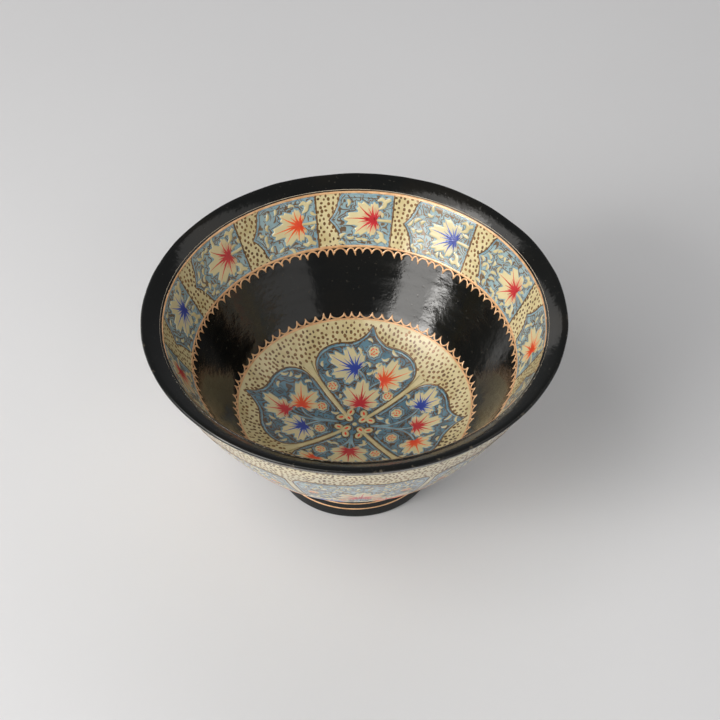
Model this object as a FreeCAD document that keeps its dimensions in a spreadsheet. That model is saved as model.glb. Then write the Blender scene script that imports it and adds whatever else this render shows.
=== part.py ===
"""A footed papier-mache bowl with a painted and lacquered skin, modelled the way it is made.

The paper shell is moulded first. A paper edging is glued over its trimmed edge as the lip, a wound
paper ring is glued under it as the foot, a bevel of paste fairs the foot into the wall, and thin coats of
ground and lacquer cover the inside, the outside and the underside within the foot.

Frame: millimetres, +Z up, origin on the table at the middle of the foot.
Every layer is an offset of one finished inside surface: a floor arc about the bowl's axis, a knuckle and
a wall arc that ends at the lip's inner edge.
"""

import FreeCAD, Part
import math
import os

import Sketcher

# Driving dimensions, in millimetres and degrees.
SIZES = [
    ("rim_radius", 76.0, "outermost radius of the lip"),
    ("bowl_height", 76.5, "table to the top of the lip"),
    ("lip_width", 7.7, "inner edge of the lip to its outermost radius"),
    ("lip_drop", 3.4, "top of the lip down to its inner edge"),
    ("crown_radius", 8.0, "rounding across the top of the lip"),
    ("nose_radius", 0.7, "rounding of the lip's outer edge"),
    ("rim_seat_depth", 1.2, "how far the shell's edge stands into the lip"),
    ("floor_level", 18.8, "table to the inside of the floor at its middle"),
    ("floor_edge_radius", 42.8, "radius where floor and wall would meet"),
    ("floor_rise", 12.1, "rise of the floor from its middle to that edge"),
    ("knuckle_radius", 20.0, "rounding between floor and wall"),
    ("wall_arc", 216.0, "radius of the wall's gentle curve"),
    ("paper_thickness", 3.8, "moulded paper shell"),
    ("coat_thickness", 0.6, "ground and lacquer on each side of it"),
    ("foot_radius", 29.5, "outer radius of the foot on the table"),
    ("foot_wall", 5.0, "width of the foot ring on the table"),
    ("foot_taper", 2.5, "degrees that the outside of the foot leans in"),
    ("foot_edge", 0.8, "rounding of the foot's two lower edges"),
    ("bevel_leg", 2.2, "reach of the paste along the foot and along the wall"),
]

COAT_OUT = "Sizes.coat_thickness + Sizes.paper_thickness"
SKIN_OUT = "2 * Sizes.coat_thickness + Sizes.paper_thickness"
ORIGIN = (-1, 1)
H_AXIS, V_AXIS = -1, -2
START, END, CENTRE = 1, 2, 3

doc = FreeCAD.newDocument("painted_bowl")


def make_sheet():
    sheet = doc.addObject("Spreadsheet::Sheet", "Sizes")
    for row, (alias, value, note) in enumerate(SIZES, start=1):
        sheet.set(f"A{row}", alias)
        sheet.set(f"B{row}", str(value))
        sheet.set(f"C{row}", note)
        sheet.setAlias(f"B{row}", alias)
    doc.recompute()
    return sheet


sheet = make_sheet()


def size(alias):
    return float(sheet.get(alias))


# ---------------------------------------------------------------- plane geometry, for first positions


def point(x, z):
    return FreeCAD.Vector(x, z, 0)


def along(start, end, distance):
    """The point that lies that far from start towards end."""
    return start + (end - start).normalize() * distance


def circle_centre(start, end, radius):
    """Centre of the circle of that radius through both points, on the left of start to end."""
    middle = (start + end) * 0.5
    half = (end - start).Length / 2
    left = point(-(end - start).y, (end - start).x).normalize()
    return middle + left * math.sqrt(radius**2 - half**2)


def arc(centre, start, end):
    """Anticlockwise arc about centre from start to end."""
    radius = (start - centre).Length
    first = math.atan2(start.y - centre.y, start.x - centre.x)
    last = math.atan2(end.y - centre.y, end.x - centre.x)
    circle = Part.Circle(centre, FreeCAD.Vector(0, 0, 1), radius)
    return Part.ArcOfCircle(circle, first, last)


def ray_meets_circle(start, direction, centre, radius):
    """First point on the ray from start that lies on the circle."""
    to_start = start - centre
    b = to_start.dot(direction)
    c = to_start.dot(to_start) - radius**2
    return start + direction * (-b - math.sqrt(b * b - c))


class Form:
    """The finished inside surface in the plane of radius and height."""

    def __init__(self):
        edge, rise, level = size("floor_edge_radius"), size("floor_rise"), size("floor_level")
        self.floor_radius = (edge**2 + rise**2) / (2 * rise)
        self.floor_centre = point(0, level + self.floor_radius)
        self.floor_middle = point(0, level)
        self.corner = point(edge, level + rise)
        self.lip_edge = point(
            size("rim_radius") - size("lip_width"), size("bowl_height") - size("lip_drop")
        )
        self.wall_centre = circle_centre(self.corner, self.lip_edge, size("wall_arc"))
        self.knuckle_centre = self.find_knuckle()
        self.outward = (self.lip_edge - self.wall_centre).normalize()
        self.upward = point(-self.outward.y, self.outward.x)

    def find_knuckle(self):
        """Centre of the knuckle, which touches the floor and wall circles from inside."""
        to_floor = self.floor_radius - size("knuckle_radius")
        to_wall = size("wall_arc") - size("knuckle_radius")
        across = self.wall_centre - self.floor_centre
        reach = (across.Length**2 + to_floor**2 - to_wall**2) / (2 * across.Length)
        across.normalize()
        side = point(-across.y, across.x)
        return self.floor_centre + across * reach + side * math.sqrt(to_floor**2 - reach**2)

    def floor_end(self, out):
        return along(self.floor_centre, self.knuckle_centre, self.floor_radius + out)

    def wall_start(self, out):
        return along(self.wall_centre, self.knuckle_centre, size("wall_arc") + out)

    def wall_end(self, out, up=0.0):
        """End of the wall at an offset, on the lip's seat or a distance above it."""
        radius = size("wall_arc") + out
        return (
            self.wall_centre + self.outward * math.sqrt(radius**2 - up**2) + self.upward * up
        )


form = Form()


# ---------------------------------------------------------------- sketches


class Drawing:
    """A sketch on a body's XZ plane, whose named dimensions are bound to the sheet."""

    def __init__(self, body, name):
        self.body = body
        self.sketch = body.newObject("Sketcher::SketchObject", name)
        plane = next(f for f in body.Origin.OriginFeatures if f.Role == "XZ_Plane")
        self.sketch.AttachmentSupport = (plane, [""])
        self.sketch.MapMode = "FlatFace"

    def add(self, geometry, construction=False):
        return self.sketch.addGeometry(geometry, construction)

    def line(self, start, end, construction=False):
        return self.add(Part.LineSegment(start, end), construction)

    def rule(self, kind, *where):
        return self.sketch.addConstraint(Sketcher.Constraint(kind, *where))

    def join(self, *ends):
        """Makes each listed pair of (geometry, end) one point."""
        for (first, first_end), (second, second_end) in ends:
            self.rule("Coincident", first, first_end, second, second_end)

    def dimension(self, expression, kind, *where):
        """A dimension with an expression on the sheet; its first value comes from that too."""
        self.sketch.setExpression(
            f"Constraints[{self.rule(kind, *where, self.value(expression))}]", expression
        )

    def value(self, expression):
        names = {alias: size(alias) for alias, _, _ in SIZES}
        for alias in sorted(names, key=len, reverse=True):
            expression = expression.replace(f"Sizes.{alias}", repr(names[alias]))
        if expression.endswith(" * 1 deg"):
            found = FreeCAD.Units.Quantity(expression[: -len(" * 1 deg")]).Value
            return math.radians(found)
        return FreeCAD.Units.Quantity(expression).Value

    def base(self):
        """Construction lines that fix the finished inside surface: its floor, wall and lip seat."""
        floor = self.add(arc(form.floor_centre, form.floor_middle, form.corner), True)
        self.rule("PointOnObject", floor, CENTRE, V_AXIS)
        self.rule("PointOnObject", floor, START, V_AXIS)
        self.dimension("Sizes.floor_level", "DistanceY", *ORIGIN, floor, START)
        self.dimension("Sizes.floor_edge_radius", "DistanceX", *ORIGIN, floor, END)
        self.dimension("Sizes.floor_level + Sizes.floor_rise", "DistanceY", *ORIGIN, floor, END)
        wall = self.add(arc(form.wall_centre, form.corner, form.lip_edge), True)
        self.join(((floor, END), (wall, START)))
        self.dimension("Sizes.wall_arc", "Radius", wall)
        self.dimension("Sizes.rim_radius - Sizes.lip_width", "DistanceX", *ORIGIN, wall, END)
        self.dimension("Sizes.bowl_height - Sizes.lip_drop", "DistanceY", *ORIGIN, wall, END)
        seat = self.line(form.wall_centre, form.lip_edge, True)
        self.join(((seat, START), (wall, CENTRE)), ((seat, END), (wall, END)))
        self.floor, self.wall, self.seat = floor, wall, seat

    def surface(self, offset, up=0.0):
        """Floor, knuckle and wall arcs at an offset outside the finished inside surface."""
        out = self.value(offset)
        floor = self.add(
            arc(form.floor_centre, form.floor_middle - point(0, out), form.floor_end(out))
        )
        knuckle = self.add(arc(form.knuckle_centre, form.floor_end(out), form.wall_start(out)))
        wall = self.add(arc(form.wall_centre, form.wall_start(out), form.wall_end(out, up)))
        self.join(((floor, CENTRE), (self.floor, CENTRE)), ((wall, CENTRE), (self.wall, CENTRE)))
        self.rule("PointOnObject", floor, START, V_AXIS)
        self.dimension(f"Sizes.floor_level - ({offset})", "DistanceY", *ORIGIN, floor, START)
        self.rule("Tangent", floor, END, knuckle, START)
        self.dimension(f"Sizes.knuckle_radius + {offset}", "Radius", knuckle)
        self.rule("Tangent", knuckle, END, wall, START)
        self.dimension(f"Sizes.wall_arc + {offset}", "Radius", wall)
        return floor, wall

    def close_at_seat(self, inner, outer):
        """Trims two wall arcs with a straight edge on the lip's seat."""
        edge = self.line(self.end_of(inner), self.end_of(outer))
        self.join(((edge, START), (inner, END)), ((edge, END), (outer, END)))
        self.rule("PointOnObject", inner, END, self.seat)
        self.rule("PointOnObject", outer, END, self.seat)

    def close_above_seat(self, inner, outer):
        """Trims two wall arcs with a straight edge that stands above the lip's seat."""
        edge = self.line(self.end_of(inner), self.end_of(outer))
        self.join(((edge, START), (inner, END)), ((edge, END), (outer, END)))
        self.rule("Parallel", edge, self.seat)
        self.dimension("Sizes.rim_seat_depth", "Distance", inner, END, self.seat)

    def end_of(self, geometry):
        return self.sketch.Geometry[geometry].EndPoint

    def close_on_axis(self, inner_floor, outer_floor):
        low, high = (self.sketch.Geometry[g].StartPoint for g in (outer_floor, inner_floor))
        edge = self.line(low, high)
        self.join(((edge, START), (outer_floor, START)), ((edge, END), (inner_floor, START)))

    def turn(self, kind, name):
        """A full turn of this sketch about the bowl's axis: a Revolution adds, a Groove cuts."""
        feature = self.body.newObject(f"PartDesign::{kind}", name)
        feature.Profile = self.sketch
        feature.ReferenceAxis = (self.sketch, ["V_Axis"])
        feature.Angle = 360.0
        self.sketch.Visibility = False
        doc.recompute()
        return feature


def new_body(label):
    body = doc.addObject("PartDesign::Body", label)
    body.Label = label
    return body


def layer(label, inner_offset, outer_offset, above_seat=False):
    """A body that fills the space between two offsets of the inside surface."""
    body = new_body(label)
    drawing = Drawing(body, f"{label}_section")
    drawing.base()
    up = size("rim_seat_depth") if above_seat else 0.0
    inner_floor, inner_wall = drawing.surface(inner_offset, up)
    outer_floor, outer_wall = drawing.surface(outer_offset, up)
    drawing.close_on_axis(inner_floor, outer_floor)
    if above_seat:
        drawing.close_above_seat(inner_wall, outer_wall)
    else:
        drawing.close_at_seat(inner_wall, outer_wall)
    drawing.turn("Revolution", f"{label}_turned")
    return body


def foot_side(drawing, top, construction):
    """The outside of the foot, leaning in from its radius on the table, up to a first top point."""
    side = drawing.line(point(size("foot_radius"), 0), top, construction)
    drawing.rule("PointOnObject", side, START, H_AXIS)
    drawing.dimension("Sizes.foot_radius", "DistanceX", *ORIGIN, side, START)
    drawing.dimension("(90 + Sizes.foot_taper) * 1 deg", "Angle", side)
    return side


def side_point(height):
    """Point on the outside of the foot at a height above the table."""
    lean = math.tan(math.radians(size("foot_taper")))
    return point(size("foot_radius") - height * lean, height)


def foot_outline(drawing, inner_x, inner_expression):
    """A closed outline from an inner radius out to the foot's side, as high as the floor's edge."""
    top = size("floor_level") + size("floor_rise")
    side = foot_side(drawing, side_point(top), False)
    lid = drawing.line(side_point(top), point(inner_x, top))
    inside = drawing.line(point(inner_x, top), point(inner_x, 0))
    sole = drawing.line(point(inner_x, 0), point(size("foot_radius"), 0))
    drawing.join(
        ((side, END), (lid, START)),
        ((lid, END), (inside, START)),
        ((inside, END), (sole, START)),
        ((sole, END), (side, START)),
    )
    drawing.rule("Horizontal", lid)
    drawing.rule("Vertical", inside)
    drawing.rule("PointOnObject", inside, END, H_AXIS)
    drawing.dimension("Sizes.floor_level + Sizes.floor_rise", "DistanceY", *ORIGIN, side, END)
    if inner_expression:
        drawing.dimension(inner_expression, "DistanceX", *ORIGIN, inside, END)
    else:
        drawing.rule("PointOnObject", inside, END, V_AXIS)


# ---------------------------------------------------------------- sub-parts


def make_paper_shell():
    return layer("paper_shell", "Sizes.coat_thickness", COAT_OUT, above_seat=True)


def make_inner_coat():
    return layer("inner_coat", "0", "Sizes.coat_thickness")


def make_outer_coat():
    """Coat on the outside wall, from the lip's seat down to the side of the foot."""
    body = layer("outer_coat", COAT_OUT, SKIN_OUT)
    clear = Drawing(body, "outer_coat_foot_section")
    foot_outline(clear, 0, None)
    clear.turn("Groove", "outer_coat_foot_clearance")
    return body


def make_underside_coat():
    """Coat on the underside of the floor, inside the foot ring."""
    body = layer("underside_coat", COAT_OUT, SKIN_OUT)
    clear = Drawing(body, "underside_coat_trim_section")
    low, high = 0, size("bowl_height")
    near, far = size("foot_radius") - size("foot_wall"), size("rim_radius")
    corners = [point(near, low), point(far, low), point(far, high), point(near, high)]
    sides = [clear.line(a, b) for a, b in zip(corners, corners[1:] + corners[:1])]
    clear.join(*(((a, END), (b, START)) for a, b in zip(sides, sides[1:] + sides[:1])))
    for side, direction in zip(sides, ("Horizontal", "Vertical", "Horizontal", "Vertical")):
        clear.rule(direction, side)
    clear.rule("PointOnObject", sides[0], START, H_AXIS)
    clear.dimension("Sizes.foot_radius - Sizes.foot_wall", "DistanceX", *ORIGIN, sides[0], START)
    clear.dimension("Sizes.rim_radius", "DistanceX", *ORIGIN, sides[0], END)
    clear.dimension("Sizes.bowl_height", "DistanceY", *ORIGIN, sides[1], END)
    clear.turn("Groove", "underside_coat_trim")
    return body


def make_lip():
    """Paper edging: a low crown flared past the wall, a thin nose and a slot for the shell's edge."""
    body = new_body("lip")
    section = Drawing(body, "lip_section")
    section.base()
    out = section.value(SKIN_OUT)
    heel = form.lip_edge + form.outward * out
    crown_radius, drop = size("crown_radius"), size("lip_drop")
    crown_run = math.sqrt(crown_radius**2 - (crown_radius - drop) ** 2)
    crown_centre = form.lip_edge + point(crown_run, drop - crown_radius)
    nose_x = size("rim_radius") - size("nose_radius")
    reach = crown_radius - size("nose_radius")
    nose_rise = math.sqrt(reach**2 - (nose_x - crown_centre.x) ** 2)
    nose_centre = point(nose_x, crown_centre.y + nose_rise)
    touch = along(crown_centre, nose_centre, crown_radius)
    to_heel = heel - nose_centre
    turn = math.atan2(to_heel.y, to_heel.x) + math.acos(size("nose_radius") / to_heel.Length)
    under = nose_centre + point(math.cos(turn), math.sin(turn)) * size("nose_radius")

    crown = section.add(arc(crown_centre, touch, form.lip_edge))
    nose = section.add(arc(nose_centre, under, touch))
    underside = section.line(heel, under)
    foot = section.line(form.lip_edge, heel)
    top = section.line(
        point(crown_centre.x - 1, size("bowl_height")),
        point(crown_centre.x + 1, size("bowl_height")),
        True,
    )
    section.join(
        ((crown, END), (foot, START)),
        ((foot, START), (section.wall, END)),
        ((foot, END), (underside, START)),
    )
    section.dimension("Sizes.crown_radius", "Radius", crown)
    section.rule("PointOnObject", foot, END, section.seat)
    section.dimension(SKIN_OUT, "Distance", foot)
    section.rule("Horizontal", top)
    section.rule("Tangent", top, crown)
    section.dimension("Sizes.bowl_height", "DistanceY", *ORIGIN, top, START)
    section.rule("DistanceX", top, START, crown, CENTRE, 1.0)
    section.rule("DistanceX", crown, CENTRE, top, END, 1.0)
    section.rule("Tangent", crown, START, nose, END)
    section.rule("Tangent", nose, START, underside, END)
    section.dimension("Sizes.nose_radius", "Radius", nose)
    section.dimension("Sizes.rim_radius - Sizes.nose_radius", "DistanceX", *ORIGIN, nose, CENTRE)
    section.turn("Revolution", "lip_turned")

    slot = Drawing(body, "lip_slot_section")
    slot.base()
    walls = []
    for offset in ("Sizes.coat_thickness", COAT_OUT):
        reach = slot.value(offset)
        low, high = form.wall_end(reach), form.wall_end(reach, size("rim_seat_depth"))
        wall = slot.add(arc(form.wall_centre, low, high))
        slot.rule("Coincident", wall, CENTRE, slot.wall, CENTRE)
        slot.dimension(f"Sizes.wall_arc + {offset}", "Radius", wall)
        slot.rule("PointOnObject", wall, START, slot.seat)
        walls.append(wall)
    mouth = slot.line(*(slot.sketch.Geometry[wall].StartPoint for wall in walls))
    slot.join(((mouth, START), (walls[0], START)), ((mouth, END), (walls[1], START)))
    slot.close_above_seat(*walls)
    slot.turn("Groove", "lip_slot")
    return body


def make_foot_ring():
    """Wound paper ring, cut on top to the shell's underside and rounded at its two lower edges."""
    body = new_body("foot_ring")
    blank = Drawing(body, "foot_ring_section")
    inner = size("foot_radius") - size("foot_wall")
    foot_outline(blank, inner, "Sizes.foot_radius - Sizes.foot_wall")
    blank.turn("Revolution", "foot_ring_turned")
    seat = Drawing(body, "foot_ring_seat_section")
    seat.base()
    floor, wall = seat.surface(COAT_OUT)
    rim = seat.end_of(wall)
    lid = seat.line(rim, point(0, rim.y))
    axis = seat.line(point(0, rim.y), seat.sketch.Geometry[floor].StartPoint)
    seat.rule("PointOnObject", wall, END, seat.seat)
    seat.join(((wall, END), (lid, START)), ((lid, END), (axis, START)), ((axis, END), (floor, START)))
    seat.rule("Horizontal", lid)
    seat.rule("Vertical", axis)
    ring = seat.turn("Groove", "foot_ring_seat")
    edges = [
        f"Edge{number}"
        for number, edge in enumerate(ring.Shape.Edges, start=1)
        if abs(edge.BoundBox.ZMax) < 1e-6
    ]
    rounding = body.newObject("PartDesign::Fillet", "foot_ring_edges")
    rounding.Base = (ring, edges)
    rounding.Radius = size("foot_edge")
    rounding.setExpression("Radius", "Sizes.foot_edge")
    body.Tip = rounding
    return body


def make_foot_bevel():
    """Bead of paste, smoothed to a bevel, between the side of the foot and the finished wall."""
    body = new_body("foot_bevel")
    section = Drawing(body, "foot_bevel_section")
    section.base()
    out = section.value(SKIN_OUT)
    radius, leg = form.floor_radius + out, size("bevel_leg")
    lean = math.radians(size("foot_taper"))
    upward = point(-math.sin(lean), math.cos(lean))
    corner = ray_meets_circle(point(size("foot_radius"), 0), upward, form.floor_centre, radius)
    low = corner - upward * leg
    to_high = math.atan2(corner.y - form.floor_centre.y, corner.x) + 2 * math.asin(leg / 2 / radius)
    high = form.floor_centre + point(math.cos(to_high), math.sin(to_high)) * radius

    side = foot_side(section, corner, True)
    skin = section.add(arc(form.floor_centre, form.floor_middle - point(0, out), corner), True)
    section.join(((skin, CENTRE), (section.floor, CENTRE)), ((skin, END), (side, END)))
    section.rule("PointOnObject", skin, START, V_AXIS)
    section.dimension(f"Sizes.floor_level - ({SKIN_OUT})", "DistanceY", *ORIGIN, skin, START)
    back = section.line(low, corner)
    roof = section.add(arc(form.floor_centre, corner, high))
    face = section.line(high, low)
    section.join(
        ((back, END), (side, END)),
        ((roof, START), (side, END)),
        ((roof, CENTRE), (skin, CENTRE)),
        ((roof, END), (face, START)),
        ((face, END), (back, START)),
    )
    section.rule("PointOnObject", back, START, side)
    section.dimension("Sizes.bevel_leg", "Distance", back)
    section.dimension("Sizes.bevel_leg", "Distance", roof, START, roof, END)
    section.turn("Revolution", "foot_bevel_turned")
    return body


BODIES = [
    make_paper_shell(),
    make_inner_coat(),
    make_outer_coat(),
    make_underside_coat(),
    make_lip(),
    make_foot_ring(),
    make_foot_bevel(),
]


def check_document():
    doc.recompute()
    for item in doc.Objects:
        if "Invalid" in item.State or "Error" in item.State:
            raise RuntimeError(f"{item.Name} failed: {item.State}")
        if item.TypeId == "Sketcher::SketchObject" and item.solve() != 0:
            raise RuntimeError(f"{item.Name} doesn't solve")
    for body in BODIES:
        if body.Shape.isNull() or not body.Shape.isValid() or not body.Shape.Solids:
            raise RuntimeError(f"{body.Label} has no valid solid")


def write_parts():
    os.makedirs("parts", exist_ok=True)
    for body in BODIES:
        body.Shape.exportStep(os.path.join("parts", f"{body.Label}.step"))
        box = body.Shape.BoundBox
        print(
            f"{body.Label}: {len(body.Shape.Solids)} solid, {body.Shape.Volume:.1f} mm3,"
            f" radius {box.XMax:.2f}, height {box.ZMin:.2f} to {box.ZMax:.2f}"
        )


check_document()
write_parts()
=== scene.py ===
"""A footed papier-mache bowl: turned lacquer skins round the paper shell, with painted ornament on them.

Lengths in this file are millimetres until a mesh is made; meshes are metres. Plane sections are complex
numbers, radius + height * j, and angles round the bowl are degrees from +X towards +Y.
"""

import bisect
import cmath
import math
import random

import bpy
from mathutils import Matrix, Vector


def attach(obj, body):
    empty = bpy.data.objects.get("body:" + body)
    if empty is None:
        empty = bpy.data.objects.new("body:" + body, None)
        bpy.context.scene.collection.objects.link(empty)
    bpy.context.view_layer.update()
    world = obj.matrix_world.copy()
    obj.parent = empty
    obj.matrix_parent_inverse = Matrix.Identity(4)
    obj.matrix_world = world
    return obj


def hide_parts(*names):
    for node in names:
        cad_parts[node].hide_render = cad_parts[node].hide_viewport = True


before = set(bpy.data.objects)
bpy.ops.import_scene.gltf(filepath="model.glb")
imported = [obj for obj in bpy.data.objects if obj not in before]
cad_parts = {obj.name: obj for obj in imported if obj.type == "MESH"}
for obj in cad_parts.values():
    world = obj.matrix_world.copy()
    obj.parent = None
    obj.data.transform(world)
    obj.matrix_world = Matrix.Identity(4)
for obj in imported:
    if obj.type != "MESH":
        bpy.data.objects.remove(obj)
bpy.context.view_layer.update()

MM = 0.001

# ---------------------------------------------------------------- sizes of the bowl

# The finished inside, its floor curve, knuckle and wall, and the thicknesses outside it.
FLOOR_LEVEL, FLOOR_EDGE, FLOOR_RISE = 18.8, 42.8, 12.1
KNUCKLE_RADIUS, WALL_ARC = 20.0, 216.0
COAT, PAPER = 0.6, 3.8
SKIN = 2 * COAT + PAPER
TURNED_SEGMENTS = 288

# The lip: where the inside wall ends, its face, crest and nose, and the slot for the paper's edge.
LIP_EDGE = complex(68.3, 73.1)
RIM_RADIUS, BOWL_HEIGHT = 76.0, 76.5
NOSE_RADIUS, SEAT_DEPTH = 0.7, 1.2
FACE_RUN, FACE_SLOPE, CREST_SLOPE = 5.5, math.radians(36), math.radians(24)
HAND_TRIM = 2.2  # how unevenly the rim was trimmed by hand, from peak to peak of its noise
TRIM_START, TRIM_FULL = 69.5, 74.5  # radii between which the unevenness grows to its full size

FOOT_RADIUS, FOOT_WALL, FOOT_EDGE = 29.5, 5.0, 0.8
FOOT_LEAN = math.radians(2.5)
BEVEL_LEG = 2.2

# Painted bands on the inside, as radii, and the gold lines on the foot, as heights.
MEDALLION_RING = 43.0
FRIEZE_LOW, FRIEZE_HIGH = 58.8, 68.4
FOOT_LINES = (4.5, 7.2)

# ---------------------------------------------------------------- plane sections


def unit(z):
    return z / abs(z)


def arc(centre, start, end, step=1.2):
    """Points of the anticlockwise arc about centre from start to end."""
    first, last = cmath.phase(start - centre), cmath.phase(end - centre)
    if last < first:
        last += 2 * math.pi
    radius = abs(start - centre)
    count = max(3, math.ceil(radius * (last - first) / step))
    return [
        centre + radius * cmath.exp(1j * (first + (last - first) * k / count))
        for k in range(count + 1)
    ]


def line(start, end, step=1.5):
    count = max(1, math.ceil(abs(end - start) / step))
    return [start + (end - start) * k / count for k in range(count + 1)]


FLOOR_RADIUS = (FLOOR_EDGE**2 + FLOOR_RISE**2) / (2 * FLOOR_RISE)
FLOOR_CENTRE = 1j * (FLOOR_LEVEL + FLOOR_RADIUS)
CORNER = complex(FLOOR_EDGE, FLOOR_LEVEL + FLOOR_RISE)


def find_wall_centre():
    across = LIP_EDGE - CORNER
    return (LIP_EDGE + CORNER) / 2 + 1j * unit(across) * math.sqrt(
        WALL_ARC**2 - (abs(across) / 2) ** 2
    )


def find_knuckle_centre():
    """Centre of the rounding that touches the floor and wall circles from inside."""
    to_floor, to_wall = FLOOR_RADIUS - KNUCKLE_RADIUS, WALL_ARC - KNUCKLE_RADIUS
    across = WALL_CENTRE - FLOOR_CENTRE
    reach = (abs(across) ** 2 + to_floor**2 - to_wall**2) / (2 * abs(across))
    return FLOOR_CENTRE + unit(across) * (reach + 1j * math.sqrt(to_floor**2 - reach**2))


WALL_CENTRE = find_wall_centre()
KNUCKLE_CENTRE = find_knuckle_centre()
OUTWARD = unit(LIP_EDGE - WALL_CENTRE)


def bowl_line(offset, step=1.2):
    """Floor, knuckle and wall at an offset outside the finished inside, from the axis to the lip."""
    low = FLOOR_CENTRE - 1j * (FLOOR_RADIUS + offset)
    floor_end = FLOOR_CENTRE + unit(KNUCKLE_CENTRE - FLOOR_CENTRE) * (FLOOR_RADIUS + offset)
    wall_start = WALL_CENTRE + unit(KNUCKLE_CENTRE - WALL_CENTRE) * (WALL_ARC + offset)
    wall_end = WALL_CENTRE + OUTWARD * (WALL_ARC + offset)
    return (
        arc(FLOOR_CENTRE, low, floor_end, step)
        + arc(KNUCKLE_CENTRE, floor_end, wall_start, step)[1:]
        + arc(WALL_CENTRE, wall_start, wall_end, step)[1:]
    )


def at_radius(points, radius):
    """The point of a rising line that lies at a radius."""
    for a, b in zip(points, points[1:]):
        if a.real <= radius <= b.real:
            return a + (b - a) * (radius - a.real) / (b.real - a.real)
    return points[-1]


def lip_section():
    """Crest and whole section of the lip: a face that goes on up the wall, a crest and a rolled nose."""
    steep, gentle = (cmath.rect(1, slope - math.pi / 2) for slope in (FACE_SLOPE, CREST_SLOPE))
    face_radius = FACE_RUN / (math.sin(FACE_SLOPE) - math.sin(CREST_SLOPE))
    face_centre = LIP_EDGE + face_radius * steep
    face_end = face_centre - face_radius * gentle
    crest_radius = (BOWL_HEIGHT - face_end.imag) / (1 - math.cos(CREST_SLOPE))
    crest_centre = face_end + crest_radius * gentle
    nose_x = RIM_RADIUS - NOSE_RADIUS
    rise = math.sqrt((crest_radius - NOSE_RADIUS) ** 2 - (nose_x - crest_centre.real) ** 2)
    nose_centre = complex(nose_x, crest_centre.imag + rise)
    touch = crest_centre + unit(nose_centre - crest_centre) * crest_radius
    heel = LIP_EDGE + OUTWARD * SKIN
    turn = cmath.phase(heel - nose_centre) + math.acos(NOSE_RADIUS / abs(heel - nose_centre))
    under = nose_centre + NOSE_RADIUS * cmath.exp(1j * turn)
    crest = arc(crest_centre, touch, face_end, 0.4) + arc(face_centre, face_end, LIP_EDGE, 0.4)[1:]
    upward = 1j * OUTWARD * SEAT_DEPTH
    slot = [
        LIP_EDGE + OUTWARD * COAT,
        LIP_EDGE + OUTWARD * COAT + upward,
        LIP_EDGE + OUTWARD * (COAT + PAPER) + upward,
        LIP_EDGE + OUTWARD * (COAT + PAPER),
        heel,
    ]
    nose = arc(nose_centre, under, touch, 0.15)
    return crest, crest[1:] + slot + line(heel, under)[1:] + nose[1:]


CROWN, LIP_LOOP = lip_section()


def foot_side(height):
    return complex(FOOT_RADIUS - height * math.tan(FOOT_LEAN), height)


def foot_section():
    seat = bowl_line(COAT + PAPER)
    outer = foot_meets(COAT + PAPER)
    inner_radius = FOOT_RADIUS - FOOT_WALL
    inner = at_radius(seat, inner_radius)
    inner_round = complex(inner_radius + FOOT_EDGE, FOOT_EDGE)
    outer_round = complex(
        FOOT_RADIUS - FOOT_EDGE * (1 + math.sin(FOOT_LEAN)) / math.cos(FOOT_LEAN), FOOT_EDGE
    )
    side = outer_round + FOOT_EDGE * cmath.exp(1j * FOOT_LEAN)
    sole_in, sole_out = inner_round - 1j * FOOT_EDGE, outer_round - 1j * FOOT_EDGE
    top = [p for p in reversed(seat) if inner_radius < p.real < outer.real]
    return (
        arc(outer_round, sole_out, side, 0.2)
        + line(side, outer)[1:]
        + top
        + line(inner, inner_round - FOOT_EDGE)
        + arc(inner_round, inner_round - FOOT_EDGE, sole_in, 0.2)[1:]
        + line(sole_in, sole_out)[1:-1]
    )


def coat_section(near, far, start=0.0, end=999.0):
    """Closed section of a coat between two offsets, over a range of radii."""
    loops = []
    for offset in (near, far):
        points = bowl_line(offset)
        ends = [at_radius(points, start)] if start else []
        tail = [at_radius(points, end)] if end < points[-1].real else []
        loops.append(ends + [p for p in points if start < p.real < end or p.real == start] + tail)
    return loops[1] + loops[0][::-1]


def foot_meets(offset):
    """Where the side of the foot meets the underside of the bowl at an offset."""
    upward = complex(-math.sin(FOOT_LEAN), math.cos(FOOT_LEAN))
    across = FOOT_RADIUS - FLOOR_CENTRE
    along = (across * upward.conjugate()).real
    reach = math.sqrt(along**2 - abs(across) ** 2 + (FLOOR_RADIUS + offset) ** 2)
    return FOOT_RADIUS - upward * (along + reach)


def bevel_section():
    corner = foot_meets(SKIN)
    low = corner - BEVEL_LEG * complex(-math.sin(FOOT_LEAN), math.cos(FOOT_LEAN))
    turn = 2 * math.asin(BEVEL_LEG / 2 / (FLOOR_RADIUS + SKIN))
    high = FLOOR_CENTRE + (corner - FLOOR_CENTRE) * cmath.exp(1j * turn)
    hollow = arc(FLOOR_CENTRE, corner, high, 0.6)[-2::-1]
    return line(low, high, 0.6) + hollow + line(corner, low, 0.6)[1:-1]


# ---------------------------------------------------------------- node trees


def operator(operation, reflected=False):
    """A method that puts a maths node between a value and another."""

    def apply(self, other):
        return self.math(operation, *((other, self) if reflected else (self, other)))

    return apply


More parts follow.
